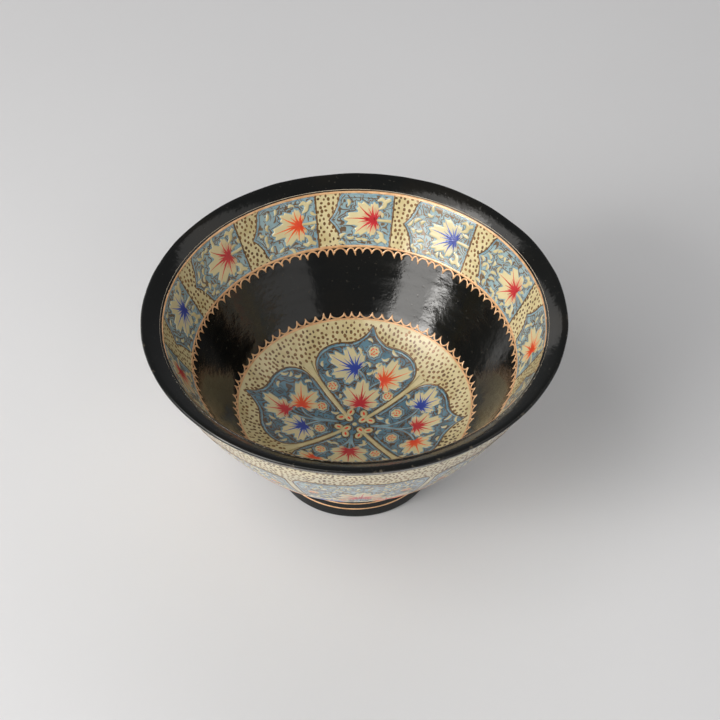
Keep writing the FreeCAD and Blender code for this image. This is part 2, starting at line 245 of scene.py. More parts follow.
class Value:
    """A socket of a node tree that can stand in a Python expression."""

    def __init__(self, nodes, socket):
        self.nodes, self.socket = nodes, socket

    def math(self, operation, *values):
        return self.nodes.make("ShaderNodeMath", {"operation": operation}, dict(enumerate(values)))

    __add__, __radd__ = operator("ADD"), operator("ADD", True)
    __sub__, __rsub__ = operator("SUBTRACT"), operator("SUBTRACT", True)
    __mul__, __rmul__ = operator("MULTIPLY"), operator("MULTIPLY", True)
    __lt__, __gt__ = operator("LESS_THAN"), operator("GREATER_THAN")

    def apply(self, operation, *others):
        return self.math(operation, self, *others)

    def step(self, low, high):
        """0 below low, 1 above high and smooth between; low may be the greater."""
        smooth = {"interpolation_type": "SMOOTHSTEP"}
        return self.nodes.make("ShaderNodeMapRange", smooth, {0: self, 1: low, 2: high, 3: 0.0, 4: 1.0})


class Nodes:
    """Makes the nodes of one tree."""

    def __init__(self, tree):
        self.tree = tree

    def feed(self, socket, value):
        if isinstance(value, Value):
            self.tree.links.new(value.socket, socket)
        else:
            socket.default_value = value

    def make(self, kind, settings=None, values=None, out=0):
        node = self.tree.nodes.new(kind)
        for name, setting in (settings or {}).items():
            setattr(node, name, setting)
        for name, value in (values or {}).items():
            self.feed(node.inputs[name], value)
        return Value(self, node.outputs[out]) if len(node.outputs) else node

    def vector(self, operation, *values, out=0):
        return self.make("ShaderNodeVectorMath", {"operation": operation}, dict(enumerate(values)), out)

    def scaled(self, vector, factor):
        return self.make("ShaderNodeVectorMath", {"operation": "SCALE"}, {0: vector, 3: factor})

    def mix(self, factor, a, b):
        """Colour a where factor is 0, b where it is 1."""
        a, b = (v if isinstance(v, Value) else (*v, 1.0) for v in (a, b))
        return self.make("ShaderNodeMix", {"data_type": "RGBA"}, {0: factor, 6: a, 7: b}, 2)

    def noise(self, vector, scale, detail=2.0, rough=0.5, distortion=0.0):
        sizes = {0: vector, 2: scale, 3: detail, 4: rough, 8: distortion}
        return self.make("ShaderNodeTexNoise", None, sizes)

    def xyz(self, x, y, z):
        return self.make("ShaderNodeCombineXYZ", None, {0: x, 1: y, 2: z})

    def split(self, vector):
        """The three parts of a vector."""
        parts = self.make("ShaderNodeSeparateXYZ", None, {0: vector}).socket.node.outputs
        return [Value(self, part) for part in parts]


GEOMETRY = "NodeSocketGeometry"
DOT_DENSITY = 2.0e6  # dots tried for each square metre, before the gap thins them


class Recipe(Nodes):
    """A geometry-nodes tree with named inputs, which ends in Realize Instances and Set Material."""

    def __init__(self, name, **sockets):
        super().__init__(bpy.data.node_groups.new(name, "GeometryNodeTree"))
        face = self.tree.interface
        face.new_socket("Geometry", in_out="INPUT", socket_type=GEOMETRY)
        for label, kind in sockets.items():
            face.new_socket(label, in_out="INPUT", socket_type=f"NodeSocket{kind}")
        face.new_socket("Material", in_out="INPUT", socket_type="NodeSocketMaterial")
        face.new_socket("Geometry", in_out="OUTPUT", socket_type=GEOMETRY)
        self.entry = self.tree.nodes.new("NodeGroupInput")

    def input(self, label):
        return Value(self, self.entry.outputs[label])

    def node(self, kind, values=None, out=0, **settings):
        """One node of the recipe, by its short name."""
        return self.make(f"GeometryNode{kind}", settings, values, out)

    def named(self, label):
        return self.node("InputNamedAttribute", {"Name": label}, data_type="FLOAT")

    def store(self, geometry, label, value):
        return self.node("StoreNamedAttribute", {"Geometry": geometry, "Name": label, "Value": value})

    def end(self, geometry):
        real = self.node("RealizeInstances", {0: geometry})
        done = self.node("SetMaterial", {"Geometry": real, "Material": self.input("Material")})
        self.tree.links.new(done.socket, self.tree.nodes.new("NodeGroupOutput").inputs[0])

    def skin(self):
        """The surface that paint is laid on, and its normal at the nearest point."""
        surface = self.node("ObjectInfo", {"Object": self.input("Surface")}, "Geometry")
        normal, place = self.node("InputNormal"), self.node("InputPosition")
        nearest = {"Mesh": surface, "Value": normal, "Sample Position": place}
        return surface, self.node("SampleNearestSurface", nearest, data_type="FLOAT_VECTOR")

    def press(self, geometry, height):
        """Moves every point to its nearest point of the skin, then up by a height."""
        surface, up = self.skin()
        nearest = self.node("Proximity", {"Target": surface}, target_element="FACES")
        place = self.vector("ADD", nearest, self.scaled(up, height))
        return self.node("SetPosition", {"Geometry": geometry, "Position": place})

    def lay(self, geometry):
        """Presses paint on, with its face at the lift and its border sunk."""
        lift, sunk = self.input("Lift"), self.input("Sunk")
        return self.press(geometry, lift + (sunk - lift) * self.named("border"))

    def face_up(self, geometry, sign=1.0):
        """Turns every face to look along the skin's normal, or against it."""
        _, up = self.skin()
        facing = self.vector("DOT_PRODUCT", self.node("InputNormal"), up, out=1)
        return self.node("FlipFaces", {"Mesh": geometry, "Selection": facing * sign < 0.0})

    def closed_paint(self, geometry):
        """A raised top face and a buried under face, joined where they meet at the border."""
        top, under = self.lay(geometry), self.press(geometry, self.input("Sunk"))
        both = self.tree.nodes.new("GeometryNodeJoinGeometry")
        for sheet in (self.face_up(top), self.face_up(under, -1.0)):
            self.tree.links.new(sheet.socket, both.inputs[0])
        joined = {"Geometry": Value(self, both.outputs[0]), "Distance": 1e-6}
        return self.node("SetShadeSmooth", {"Geometry": self.node("MergeByDistance", joined)})


def turned_recipe():
    """A closed section, given as a loop of points, turned about the bowl's axis."""
    recipe = Recipe("turned", Segments="Int", Wobble="Float")
    section, around = recipe.input("Geometry"), recipe.input("Segments")
    count = recipe.node("AttributeDomainSize", {0: section}, "Point Count")
    sizes = {"Size X": 2 * math.pi, "Size Y": count, "Vertices X": around + 1, "Vertices Y": count + 1}
    grid = recipe.node("MeshGrid", sizes)
    place = recipe.node("InputPosition")
    angle, row, _ = recipe.split(place)
    index = (row + count * 0.5 + 0.5).apply("FLOOR").apply("FLOORED_MODULO", count)
    source = {"Geometry": section, "Value": place, "Index": index}
    drawn = recipe.node("SampleIndex", source, data_type="FLOAT_VECTOR")
    spin = {"rotation_type": "Z_AXIS"}
    spun = recipe.make("ShaderNodeVectorRotate", spin, {"Vector": drawn, "Angle": angle})
    hand = recipe.noise(recipe.vector("NORMALIZE", spun), 1.7, 3.0, 0.6) - 0.5
    radius, _, _ = recipe.split(drawn)
    shove = hand * radius.step(TRIM_START * MM, TRIM_FULL * MM) * recipe.input("Wobble")
    spun = recipe.vector("ADD", spun, recipe.scaled(recipe.vector("NORMALIZE", spun), shove))
    moved = recipe.node("SetPosition", {"Geometry": grid, "Position": spun})
    merged = recipe.node("MergeByDistance", {"Geometry": moved, "Distance": 2e-6})
    loose = recipe.node("InputMeshEdgeNeighbors") < 1.0
    tidied = recipe.node("DeleteGeometry", {"Geometry": merged, "Selection": loose}, domain="EDGE")
    smooth = recipe.node("SetShadeSmooth", {"Geometry": tidied})
    sharp = recipe.node("InputMeshEdgeAngle") > math.radians(32)
    crease = {"Geometry": smooth, "Selection": sharp, "Shade Smooth": False}
    recipe.end(recipe.node("SetShadeSmooth", crease, domain="EDGE"))
    return recipe


def stroke_recipe():
    """Brush strokes: each loose line of points becomes a closed, low, flat-topped bead of paint."""
    recipe = Recipe("strokes", Surface="Object", Spacing="Float", Lift="Float", Sunk="Float")
    lines = recipe.node("MeshToCurve", {"Mesh": recipe.input("Geometry")})
    spacing = {"Curve": lines, "Length": recipe.input("Spacing")}
    lines = recipe.node("ResampleCurve", spacing, mode="LENGTH")
    _, up = recipe.skin()
    turned = recipe.node("SetCurveNormal", {"Curve": lines}, mode="FREE")
    recipe.feed(turned.socket.node.inputs["Normal"], up)
    bead = recipe.node("CurvePrimitiveQuadrilateral", mode="TRAPEZOID")
    for name, value in (("Height", 0.2), ("Bottom Width", 2.0), ("Top Width", 1.2), ("Offset", 0.0)):
        bead.socket.node.inputs[name].default_value = value
    height = recipe.split(recipe.node("InputPosition"))[1]
    bead = recipe.store(bead, "border", height < 0.0)
    bead = recipe.node("Transform", {"Geometry": bead, "Rotation": (0.0, 0.0, -math.pi / 2)})
    sweep = {"Curve": turned, "Profile Curve": bead, "Scale": recipe.named("half_width"), "Fill Caps": True}
    laid = recipe.lay(recipe.node("CurveToMesh", sweep))
    recipe.end(recipe.node("SetShadeSmooth", {"Geometry": laid}))
    return recipe


def sheet_recipe():
    """Fields of flat paint with a border that dies into the surface."""
    recipe = Recipe("fields", Surface="Object", Lift="Float", Sunk="Float")
    recipe.end(recipe.closed_paint(recipe.input("Geometry")))
    return recipe


def stipple_recipe():
    """Brush-tip dots scattered over a field, evenly but with no pattern."""
    sizes = {"Gap": "Float", "Size": "Float", "Seed": "Int", "Lift": "Float", "Sunk": "Float"}
    recipe = Recipe("stipple", Surface="Object", **sizes)
    seed, size = recipe.input("Seed"), recipe.input("Size")
    field = recipe.face_up(recipe.input("Geometry"))
    scatter = {"Mesh": field, "Distance Min": recipe.input("Gap"), "Seed": seed}
    points = recipe.node("DistributePointsOnFaces", scatter, distribute_method="POISSON")
    recipe.feed(points.socket.node.inputs["Density Max"], DOT_DENSITY)
    cone = {"Vertices": 8, "Radius Top": size * 0.75, "Radius Bottom": size, "Depth": size * 0.2}
    dot = recipe.node("MeshCone", cone)
    height = recipe.split(recipe.node("InputPosition"))[2]
    dot = recipe.store(dot, "border", height < size * 0.1)
    spots = recipe.node("InstanceOnPoints", {"Points": points, "Instance": dot})
    turns = Value(recipe, points.socket.node.outputs["Rotation"])
    recipe.feed(spots.socket.node.inputs["Rotation"], turns)
    spread = {"Min": (0.62, 0.75, 1.0), "Max": (1.05, 1.4, 1.0), "Seed": seed + 1}
    shape = recipe.make("FunctionNodeRandomValue", {"data_type": "FLOAT_VECTOR"}, spread)
    recipe.feed(spots.socket.node.inputs["Scale"], shape)
    recipe.end(recipe.lay(recipe.node("RealizeInstances", {0: spots})))
    return recipe


TURNED, STROKES, FIELDS, STIPPLE = turned_recipe(), stroke_recipe(), sheet_recipe(), stipple_recipe()


def grow(name, mesh, recipe, material, **inputs):
    """Runs a recipe on a mesh and returns its result as a piece with a plain mesh."""
    source = bpy.data.objects.new(f"{name}_source", mesh)
    bpy.context.scene.collection.objects.link(source)
    modifier = source.modifiers.new("recipe", "NODES")
    modifier.node_group = recipe.tree
    for item in recipe.tree.interface.items_tree:
        if item.in_out == "INPUT" and item.name in inputs:
            modifier[item.identifier] = inputs[item.name]
        if item.in_out == "INPUT" and item.name == "Material":
            modifier[item.identifier] = material
    graph = bpy.context.evaluated_depsgraph_get()
    result = bpy.data.meshes.new_from_object(source.evaluated_get(graph))
    result.name = name
    bpy.data.objects.remove(source)
    piece = bpy.data.objects.new(name, result)
    bpy.context.scene.collection.objects.link(piece)
    return piece


# ---------------------------------------------------------------- finishes


def finish_of(name, **uniform):
    """A new material: its node maker, its Principled shader and its Object coordinates."""
    material = bpy.data.materials.new(name)
    material.use_nodes = True
    nodes = Nodes(material.node_tree)
    shader = material.node_tree.nodes["Principled BSDF"]
    for label, value in uniform.items():
        shader.inputs[label.replace("_", " ")].default_value = value
    where = nodes.make("ShaderNodeTexCoord", out="Object")
    return material, nodes, shader, where


def round_the_bowl(nodes, where):
    """Angle, radius and height of a point, in radians and metres."""
    x, y, z = nodes.split(where)
    return y.apply("ARCTAN2", x), (x * x + y * y).apply("SQRT"), z


def emboss(nodes, shader, height, depth):
    relief = {"Strength": 1.0, "Distance": depth * MM, "Height": height}
    nodes.feed(shader.inputs["Normal"], nodes.make("ShaderNodeBump", None, relief))


def black_lacquer(name, brown=0.35, smear=1.0, rubbed=0.0):
    """Black ground under hand-brushed varnish: fine turning streaks, sags, specks and a warm cast."""
    material, nodes, shader, where = finish_of(name, Specular_IOR_Level=0.5)
    angle, radius, z = round_the_bowl(nodes, where)
    streaks = nodes.noise(nodes.xyz(angle * 1.6, radius * 420.0, z * 420.0), 1.0, 3.0, 0.6)
    long_sags = nodes.noise(nodes.xyz(angle * 5.0, radius * 90.0, z * 90.0), 1.0, 2.0)
    dents = nodes.noise(where, 260.0, 3.0, 0.55)
    specks = nodes.noise(where, 900.0, 1.0).step(0.68, 0.78)
    warm = nodes.noise(where, 38.0, 2.0).step(0.45, 0.75) * brown
    colour = nodes.mix(warm, (0.0030, 0.0034, 0.0030), (0.012, 0.009, 0.005))
    colour = nodes.mix(specks * 0.5, colour, (0.05, 0.045, 0.035))
    if rubbed:
        worn = nodes.noise(where, 210.0, 3.0, 0.7).step(0.56, 0.66)
        edge = radius.step((RIM_RADIUS - 0.9) * MM, (RIM_RADIUS - 0.1) * MM) * worn
        colour = nodes.mix(edge * rubbed, colour, (0.15, 0.125, 0.09))
    nodes.feed(shader.inputs["Base Color"], colour)
    nodes.feed(shader.inputs["Roughness"], streaks.step(0.3, 0.8) * 0.09 + dents * 0.06 + 0.06)
    ripple = nodes.noise(where, 150.0, 4.0, 0.62)
    height = long_sags * 1.5 + ripple * 1.5 + dents * 0.35 + streaks * 0.2 + specks * 0.15
    emboss(nodes, shader, height, 0.085 * smear)
    return material


def paint(name, light, dark, patch=320.0, gloss=0.32, tooth=0.010, **uniform):
    """Opaque brushed paint under varnish, uneven between a light and a dark tone."""
    settings = {"Coat_Weight": 1.0, "Coat_Roughness": 0.14, **uniform}
    material, nodes, shader, where = finish_of(name, **settings)
    uneven = nodes.noise(where, patch, 3.0, 0.6)
    fine = nodes.noise(where, 1500.0, 2.0)
    colour = nodes.mix(uneven.step(0.35, 0.68), light, dark)
    colour = nodes.mix(fine.step(0.5, 0.8) * 0.25, colour, dark)
    nodes.feed(shader.inputs["Base Color"], colour)
    nodes.feed(shader.inputs["Roughness"], fine * 0.12 + gloss)
    emboss(nodes, shader, uneven * 0.6 + fine * 0.4, tooth)
    return material


def graded_paint(name, base, tip, reached=0.75):
    """Paint that changes along its stroke or leaf, from its base to its tip."""
    material, nodes, shader, where = finish_of(name, Coat_Weight=1.0, Coat_Roughness=0.14)
    along = nodes.make("ShaderNodeAttribute", {"attribute_name": "shade"}, out="Fac")
    fine = nodes.noise(where, 900.0, 2.0)
    reach = along + (fine - 0.5) * 0.3
    colour = nodes.mix(reach.step(0.05, reached), base, tip)
    nodes.feed(shader.inputs["Base Color"], colour)
    nodes.feed(shader.inputs["Roughness"], fine * 0.12 + 0.3)
    emboss(nodes, shader, fine, 0.008)
    return material


def scrolled_blue(name, light, dark, line_colour, density=200.0, turns=8.0):
    """Grey-blue ground crowded with fine brown scroll lines, each with a paler edge."""
    material, nodes, shader, where = finish_of(name, Coat_Weight=1.0, Coat_Roughness=0.14)
    wander = nodes.noise(where, density, 0.8, 0.4, 0.9)
    phase = (wander * turns).apply("FRACT")
    from_line = (phase - 0.5).apply("ABSOLUTE")
    broken = nodes.noise(where, density * 1.7, 1.0).step(0.36, 0.46)
    scroll = from_line.step(0.27, 0.17) * broken
    pale = from_line.step(0.40, 0.33) * (1.0 - scroll)
    uneven = nodes.noise(where, 170.0, 2.0).step(0.35, 0.7)
    colour = nodes.mix(uneven, light, dark)
    colour = nodes.mix(pale * 0.45, colour, light)
    colour = nodes.mix(scroll * 0.9, colour, line_colour)
    nodes.feed(shader.inputs["Base Color"], colour)
    nodes.feed(shader.inputs["Metallic"], scroll * 0.4)
    fine = nodes.noise(where, 1400.0, 2.0)
    nodes.feed(shader.inputs["Roughness"], fine * 0.12 + 0.3)
    emboss(nodes, shader, scroll * 0.5 + fine * 0.3, 0.010)
    return material


CREAM, CREAM_SHADE = (0.74, 0.64, 0.36), (0.62, 0.51, 0.25)
BROWN, BROWN_DARK = (0.24, 0.12, 0.035), (0.10, 0.05, 0.02)

FINISH = {
    "inside_black": black_lacquer("inside_black_lacquer"),
    "lip_black": black_lacquer("lip_black_lacquer", brown=0.5, rubbed=0.55),
    "foot_black": black_lacquer("foot_black_lacquer", brown=0.1, smear=0.6),
    "paper": paint("paper_pulp", (0.62, 0.55, 0.43), (0.45, 0.38, 0.28), 220.0, 0.75, 0.05),
    "outside_cream": paint("outside_cream_ground", CREAM, (0.66, 0.58, 0.36), 60.0),
    "cream": paint("cream_paint", CREAM, CREAM_SHADE, 160.0),
    "brown": paint("brown_line_paint", BROWN, BROWN_DARK, 900.0, Metallic=0.5),
    "dot_brown": paint("brown_dot_paint", (0.26, 0.13, 0.04), (0.12, 0.06, 0.02), 150.0, Metallic=0.5),
    "gold": paint(
        "copper_gold_paint", (0.86, 0.52, 0.27), (0.68, 0.36, 0.16), 420.0, 0.34, 0.015, Metallic=0.25
    ),
    "pale_blue": paint("pale_blue_paint", (0.27, 0.43, 0.50), (0.13, 0.26, 0.34), 300.0),
    "frieze_blue": scrolled_blue(
        "frieze_blue_ground", (0.33, 0.47, 0.50), (0.18, 0.31, 0.37), (0.20, 0.105, 0.035)
    ),
    "medallion_blue": scrolled_blue(
        "medallion_blue_ground", (0.11, 0.24, 0.32), (0.045, 0.12, 0.175), (0.10, 0.052, 0.02)
    ),
    "crimson": graded_paint("crimson_vein_paint", (0.54, 0.008, 0.02), (0.68, 0.035, 0.03)),
    "vermilion": graded_paint("vermilion_vein_paint", (0.85, 0.05, 0.004), (0.92, 0.15, 0.015)),
    "indigo": graded_paint("indigo_vein_paint", (0.012, 0.035, 0.32), (0.03, 0.10, 0.50)),
    "crimson_leaf": graded_paint("crimson_leaf_paint", (0.60, 0.26, 0.16), CREAM, 0.52),
    "vermilion_leaf": graded_paint("vermilion_leaf_paint", (0.80, 0.42, 0.18), CREAM, 0.52),
    "indigo_leaf": graded_paint("indigo_leaf_paint", (0.40, 0.44, 0.40), CREAM, 0.52),
}

# ---------------------------------------------------------------- turned skins


def loop_mesh(name, points):
    mesh = bpy.data.meshes.new(name)
    edges = [(k, k + 1) for k in range(len(points) - 1)] + [(len(points) - 1, 0)]
    mesh.from_pydata([(p.real * MM, 0.0, p.imag * MM) for p in points], edges, [])
    return mesh


SECTIONS = {
    "inside_lacquer": (coat_section(0.0, COAT), "inner_coat", "inside_black", "black_lacquer"),
    "outside_ground": (
        coat_section(COAT + PAPER, SKIN, foot_meets(SKIN).real),
        "outer_coat",
        "outside_cream",
        "cream_ground",
    ),
    "underside_lacquer": (
        coat_section(COAT + PAPER, SKIN, 0.0, FOOT_RADIUS - FOOT_WALL),
        "underside_coat",
        "foot_black",
        "black_lacquer",
    ),
    "lip_edging": (LIP_LOOP, "lip", "lip_black", "lacquered_paper"),
    "foot": (foot_section(), "foot_ring", "foot_black", "lacquered_paper"),
    "foot_paste": (bevel_section(), "foot_bevel", "foot_black", "lacquered_paper"),
}


def turn_skins():
    pieces = []
    sizes = {"Segments": TURNED_SEGMENTS, "Wobble": HAND_TRIM * MM}
    for name, (section, node, look, slot) in SECTIONS.items():
        piece = grow(name, loop_mesh(name, section), TURNED, FINISH[look], **sizes)
        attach(piece, "root")
        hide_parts(node)
        pieces.append(piece)
    return pieces


SKINS = turn_skins()
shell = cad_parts["paper_shell"]
shell.data.materials.clear()
shell.data.materials.append(FINISH["paper"])

# ---------------------------------------------------------------- where paint is laid


class Course:
    """A profile of the bowl, measured along its length."""

    def __init__(self, points):
        self.points, self.marks = points, [0.0]
        for a, b in zip(points, points[1:]):
            self.marks.append(self.marks[-1] + abs(b - a))
        self.radii = [p.real for p in points]

    def between(self, keys, key):
        k = min(max(bisect.bisect_right(keys, key), 1), len(keys) - 1)
        share = (key - keys[k - 1]) / (keys[k] - keys[k - 1])
        return k, share

    def at(self, run):
        k, share = self.between(self.marks, run)
        return self.points[k - 1] + (self.points[k] - self.points[k - 1]) * share

    def run_to(self, radius):
        k, share = self.between(self.radii, radius)
        return self.marks[k - 1] + (self.marks[k] - self.marks[k - 1]) * share


INSIDE = Course(bowl_line(0.0, 0.5) + CROWN[-2::-1])
OUTSIDE = Course(bowl_line(SKIN, 0.5)[::-1])
BAND_LOW, BAND_HIGH = INSIDE.run_to(FRIEZE_LOW), INSIDE.run_to(FRIEZE_HIGH)


def spun(point, degrees):
    """The place of a point of a plane section after a turn about the axis, in metres."""
    turn, radius = math.radians(degrees), point.real
    return radius * math.cos(turn) * MM, radius * math.sin(turn) * MM, point.imag * MM


def on_floor(spot):
    """A spot of the plan, across and back from the middle, on the inside of the bowl."""
    return spun(INSIDE.at(INSIDE.run_to(abs(spot))), math.degrees(cmath.phase(spot)))


def on_side(course, angle, run, way):
    """A patch of wall: real part along the turn, imaginary part along the slope."""

    def place(spot):
        point = course.at(run + way * spot.imag)
        return spun(point, angle + math.degrees(spot.real / point.real))

    return place


def moved(place, origin, degrees):
    turn = cmath.rect(1, math.radians(degrees))
    return lambda spot: place(origin + turn * spot)


def keyed(values, share):
    """A value between evenly spaced keys."""
    if not isinstance(values, tuple):
        return values
    step = min(share, 0.9999) * (len(values) - 1)
    k = int(step)
    return values[k] + (values[k + 1] - values[k]) * (step - k)


class Paintwork:
    """Brush strokes and fields of one part of the ornament, sorted by layer."""

    def __init__(self, region):
        self.region, self.sheets = region, {}

    def sheet(self, kind, layer):
        return self.sheets.setdefault((kind, layer), {"verts": [], "cells": [], "border": [], "shade": []})

    def stroke(self, layer, place, spots, half_width, shade=(0.0, 1.0), closed=False):
        sheet = self.sheet("strokes", layer)
        first, last = len(sheet["verts"]), len(spots) - 1
        for k, spot in enumerate(spots):
            sheet["verts"].append(place(spot))
            sheet["border"].append(keyed(half_width, k / last) * MM)
            sheet["shade"].append(keyed(shade, k / last))
        sheet["cells"] += [(first + k, first + k + 1) for k in range(last)]
        if closed:
            sheet["cells"].append((first + last, first))

    def field(self, layer, rows, closed=False, pole=False):
        """Rows of places; the outer rows, or the last row round a pole, are its border."""
        sheet = self.sheet("fields", layer)
        first, wide, tall = len(sheet["verts"]), len(rows[0]), len(rows)
        for j, row in enumerate(rows):
            for k, (place, shade) in enumerate(row):
                edge = j == tall - 1 or (not pole and j == 0) or (not closed and k in (0, wide - 1))
                sheet["verts"].append(place)
                sheet["border"].append(float(edge))
                sheet["shade"].append(shade)
        for j in range(tall - 1):
            for k in range(wide if closed else wide - 1):
                a, b = first + j * wide, (k + 1) % wide
                sheet["cells"].append((a + k, a + b, a + wide + b, a + wide + k))

    def leaf_field(self, layer, place, outline, centre=0j, rings=(0.0, 0.2, 0.4, 0.6, 0.8, 0.95, 1.0)):
        longest = max(abs(p - centre) for p in outline)
        rows = []
        for ring in rings:
            row = [centre + (p - centre) * ring for p in outline]
            rows.append([(place(p), abs(p - centre) / longest) for p in row])
        self.field(layer, rows, closed=True, pole=True)

    def mesh(self, kind, layer):
        sheet = self.sheets[(kind, layer)]
        mesh = bpy.data.meshes.new(f"{self.region}_{layer}")
        edges, faces = (sheet["cells"], []) if kind == "strokes" else ([], sheet["cells"])
        mesh.from_pydata(sheet["verts"], edges, faces)
        labels = ("half_width" if kind == "strokes" else "border", "shade")
        for label, key in zip(labels, ("border", "shade")):
            attribute = mesh.attributes.new(label, "FLOAT", "POINT")
            attribute.data.foreach_set("value", sheet[key])
        return mesh


def skin_copy():
    """All turned skins as one hidden surface for the paint to be pressed on."""
    verts, faces = [], []
    for piece in SKINS:
        first = len(verts)
        verts += [tuple(v.co) for v in piece.data.vertices]
        faces += [tuple(first + k for k in face.vertices) for face in piece.data.polygons]
    mesh = bpy.data.meshes.new("skin")
    mesh.from_pydata(verts, [], faces)
    mesh.polygons.foreach_set("use_smooth", [True] * len(faces))
    skin = bpy.data.objects.new("skin", mesh)
    bpy.context.scene.collection.objects.link(skin)
    return skin


SKIN_SURFACE = skin_copy()

STROKE_STEP = 0.6  # spacing of the points along a brush stroke

# Each layer: finish, slot, lift and border height in millimetres.
LAYERS = {
    "ground": ("cream", "cream_ground", 0.03, -0.03),
    "dots": ("dot_brown", "brown_paint", 0.075, 0.022),
    "blue": (None, "blue_paint", 0.075, 0.0),
    "halos": ("pale_blue", "blue_paint", 0.095, 0.05),
    "contours": ("brown", "brown_paint", 0.108, 0.05),
    "stems": ("pale_blue", "blue_paint", 0.120, 0.06),
    "outlines": ("brown", "brown_paint", 0.112, -0.01),
    "crimson_leaves": ("crimson_leaf", "cream_paint", 0.145, 0.08),
    "vermilion_leaves": ("vermilion_leaf", "cream_paint", 0.145, 0.08),
    "indigo_leaves": ("indigo_leaf", "cream_paint", 0.145, 0.08),
    "marks": ("cream", "cream_paint", 0.145, 0.08),
    "flowers": ("cream", "cream_paint", 0.150, 0.08),
    "crimson": ("crimson", "red_paint", 0.175, 0.12),
    "vermilion": ("vermilion", "orange_paint", 0.175, 0.12),
    "indigo": ("indigo", "indigo_paint", 0.175, 0.12),
    "gold": ("gold", "gold_paint", 0.130, -0.04),
}


def lay(work, kind, layer, recipe, name, ground=None, **sizes):
    """Grows one sheet of paintwork as a piece, in the finish and heights of its layer."""
    look, slot, lift, sunk = LAYERS[layer]
    sizes.update(Surface=SKIN_SURFACE, Lift=lift * MM, Sunk=sunk * MM)
    piece = grow(name, work.mesh(kind, layer), recipe, FINISH[look or ground], **sizes)
    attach(piece, "root")


def lay_paint(work, ground):
    """Lays every sheet of a work; ground is the finish of its blue layer."""
    for kind, layer in work.sheets:
        name = f"{work.region}_{layer}"
        if kind == "fields":
            lay(work, kind, layer, FIELDS, name, ground)
            continue
        if ("fields", layer) in work.sheets:
            name += "_lines"
        lay(work, kind, layer, STROKES, name, ground, Spacing=STROKE_STEP * MM)


def lay_dots(name, rows_list, seed, gap=1.5, size=0.64):
    """Stipples the fields whose rows are given."""
    work = Paintwork(name)
    for rows in rows_list:
        work.field("dots", rows)
    lay(work, "fields", "dots", STIPPLE, name, Gap=gap * MM, Size=size * MM, Seed=seed)


# ---------------------------------------------------------------- motifs

HAND = random.Random(20)


def wobble(amount):
    return HAND.uniform(-amount, amount)


def bend(start, heading, length, turn, count=9):
    """A line that leaves start at a heading and turns evenly as it goes."""
    spots, step = [start], length / (count - 1)
    for k in range(count - 1):
        spots.append(spots[-1] + cmath.rect(step, math.radians(heading + turn * (k + 0.5) / count)))
    return spots


def swing(start, heading, end, end_heading, count=12):
    """A smooth line between two spots with given headings."""
    reach = abs(end - start) * 0.4
    a = start + cmath.rect(reach, math.radians(heading))
    b = end - cmath.rect(reach, math.radians(end_heading))
    spots = []
    for k in range(count):
        t = k / (count - 1)
        s = 1 - t
        spots.append(start * s**3 + 3 * a * s * s * t + 3 * b * s * t * t + end * t**3)
    return spots


# Lobes of a leaf: direction in degrees, reach as a share of the leaf's length, half of the spread.
LOBES = ((0, 1.0, 24), (40, 0.92, 24), (-40, 0.92, 24), (80, 0.66, 25), (-80, 0.66, 25))
LOW_LOBES = ((115, 0.40, 18), (-115, 0.40, 18))
NOTCH = 0.46  # depth of the cuts between a leaf's lobes, as a share of the lobe


def side_size(middle, left, right):
    """How big a lobe is drawn: the leaf's two sides may differ, its middle lobe is full size."""
    return (left if middle > 0 else right) if middle else 1.0


def leaf_outline(length, left, right):
    """A plane-tree leaf from its base at 0, pointing along the real axis; left and right size its sides."""
    spots = []
    for degrees in range(-135, 136, 3):
        reach = 0.10
        for middle, lobe, half in LOBES + LOW_LOBES:
            off = abs(degrees - middle) / half
            if off <= 1.0:
                swell = NOTCH + (1 - NOTCH) * math.cos(off * math.pi / 2) ** 0.6
                tooth = 1.0 - 0.11 * math.sin((degrees - middle) * math.pi / 12) ** 2
                reach = max(reach, lobe * side_size(middle, left, right) * swell * tooth)
        reach *= length * (1 + wobble(0.03))
        spots.append(cmath.rect(reach, math.radians(degrees)))
    return spots


def paint_leaf(work, place, base, heading, length, vein, left=1.0, right=1.0):
    """Cream leaf with a blue edge, a brown contour and veins that fan out from its base."""
    patch = moved(place, base, heading)
    outline = leaf_outline(length, left, right)
    halo, contour = ([p * (1 + wider / max(abs(p), 2.0)) for p in outline] for wider in (0.9, 1.15))
    work.leaf_field("halos", patch, halo, 0j)
    work.stroke("contours", patch, contour, 0.17)
    work.leaf_field(f"{vein}_leaves", patch, outline)
    work.stroke(vein, patch, [0j, 0.14 * length + 0j, 0.34 * length + 0j], (0.7, 1.05, 0.3), (0.0, 0.4))
    for middle, lobe, _ in LOBES:
        reach = length * lobe * side_size(middle, left, right) * 0.88
        turn = middle * 0.45 + wobble(8)
        spots = bend(0.02 * length + 0j, middle - turn / 2, reach, turn)
        work.stroke(vein, patch, spots, (0.72, 0.64, 0.42, 0.27, 0.15, 0.05))
        for way in (-1, 1):
            short = reach * HAND.uniform(0.42, 0.66)
            spots = bend(0.02 * length + 0j, middle + way * HAND.uniform(8, 13), short, way * 8)
            work.stroke(vein, patch, spots, (0.50, 0.46, 0.32, 0.18, 0.05), (0.0, 0.7))
    for side in (-1, 1):
        for degrees, share in ((96, 0.34), (116, 0.22)):
            spots = bend(0j, side * degrees, length * share, side * 12)
            work.stroke(vein, patch, spots, (0.50, 0.45, 0.32, 0.10), (0.0, 0.3))


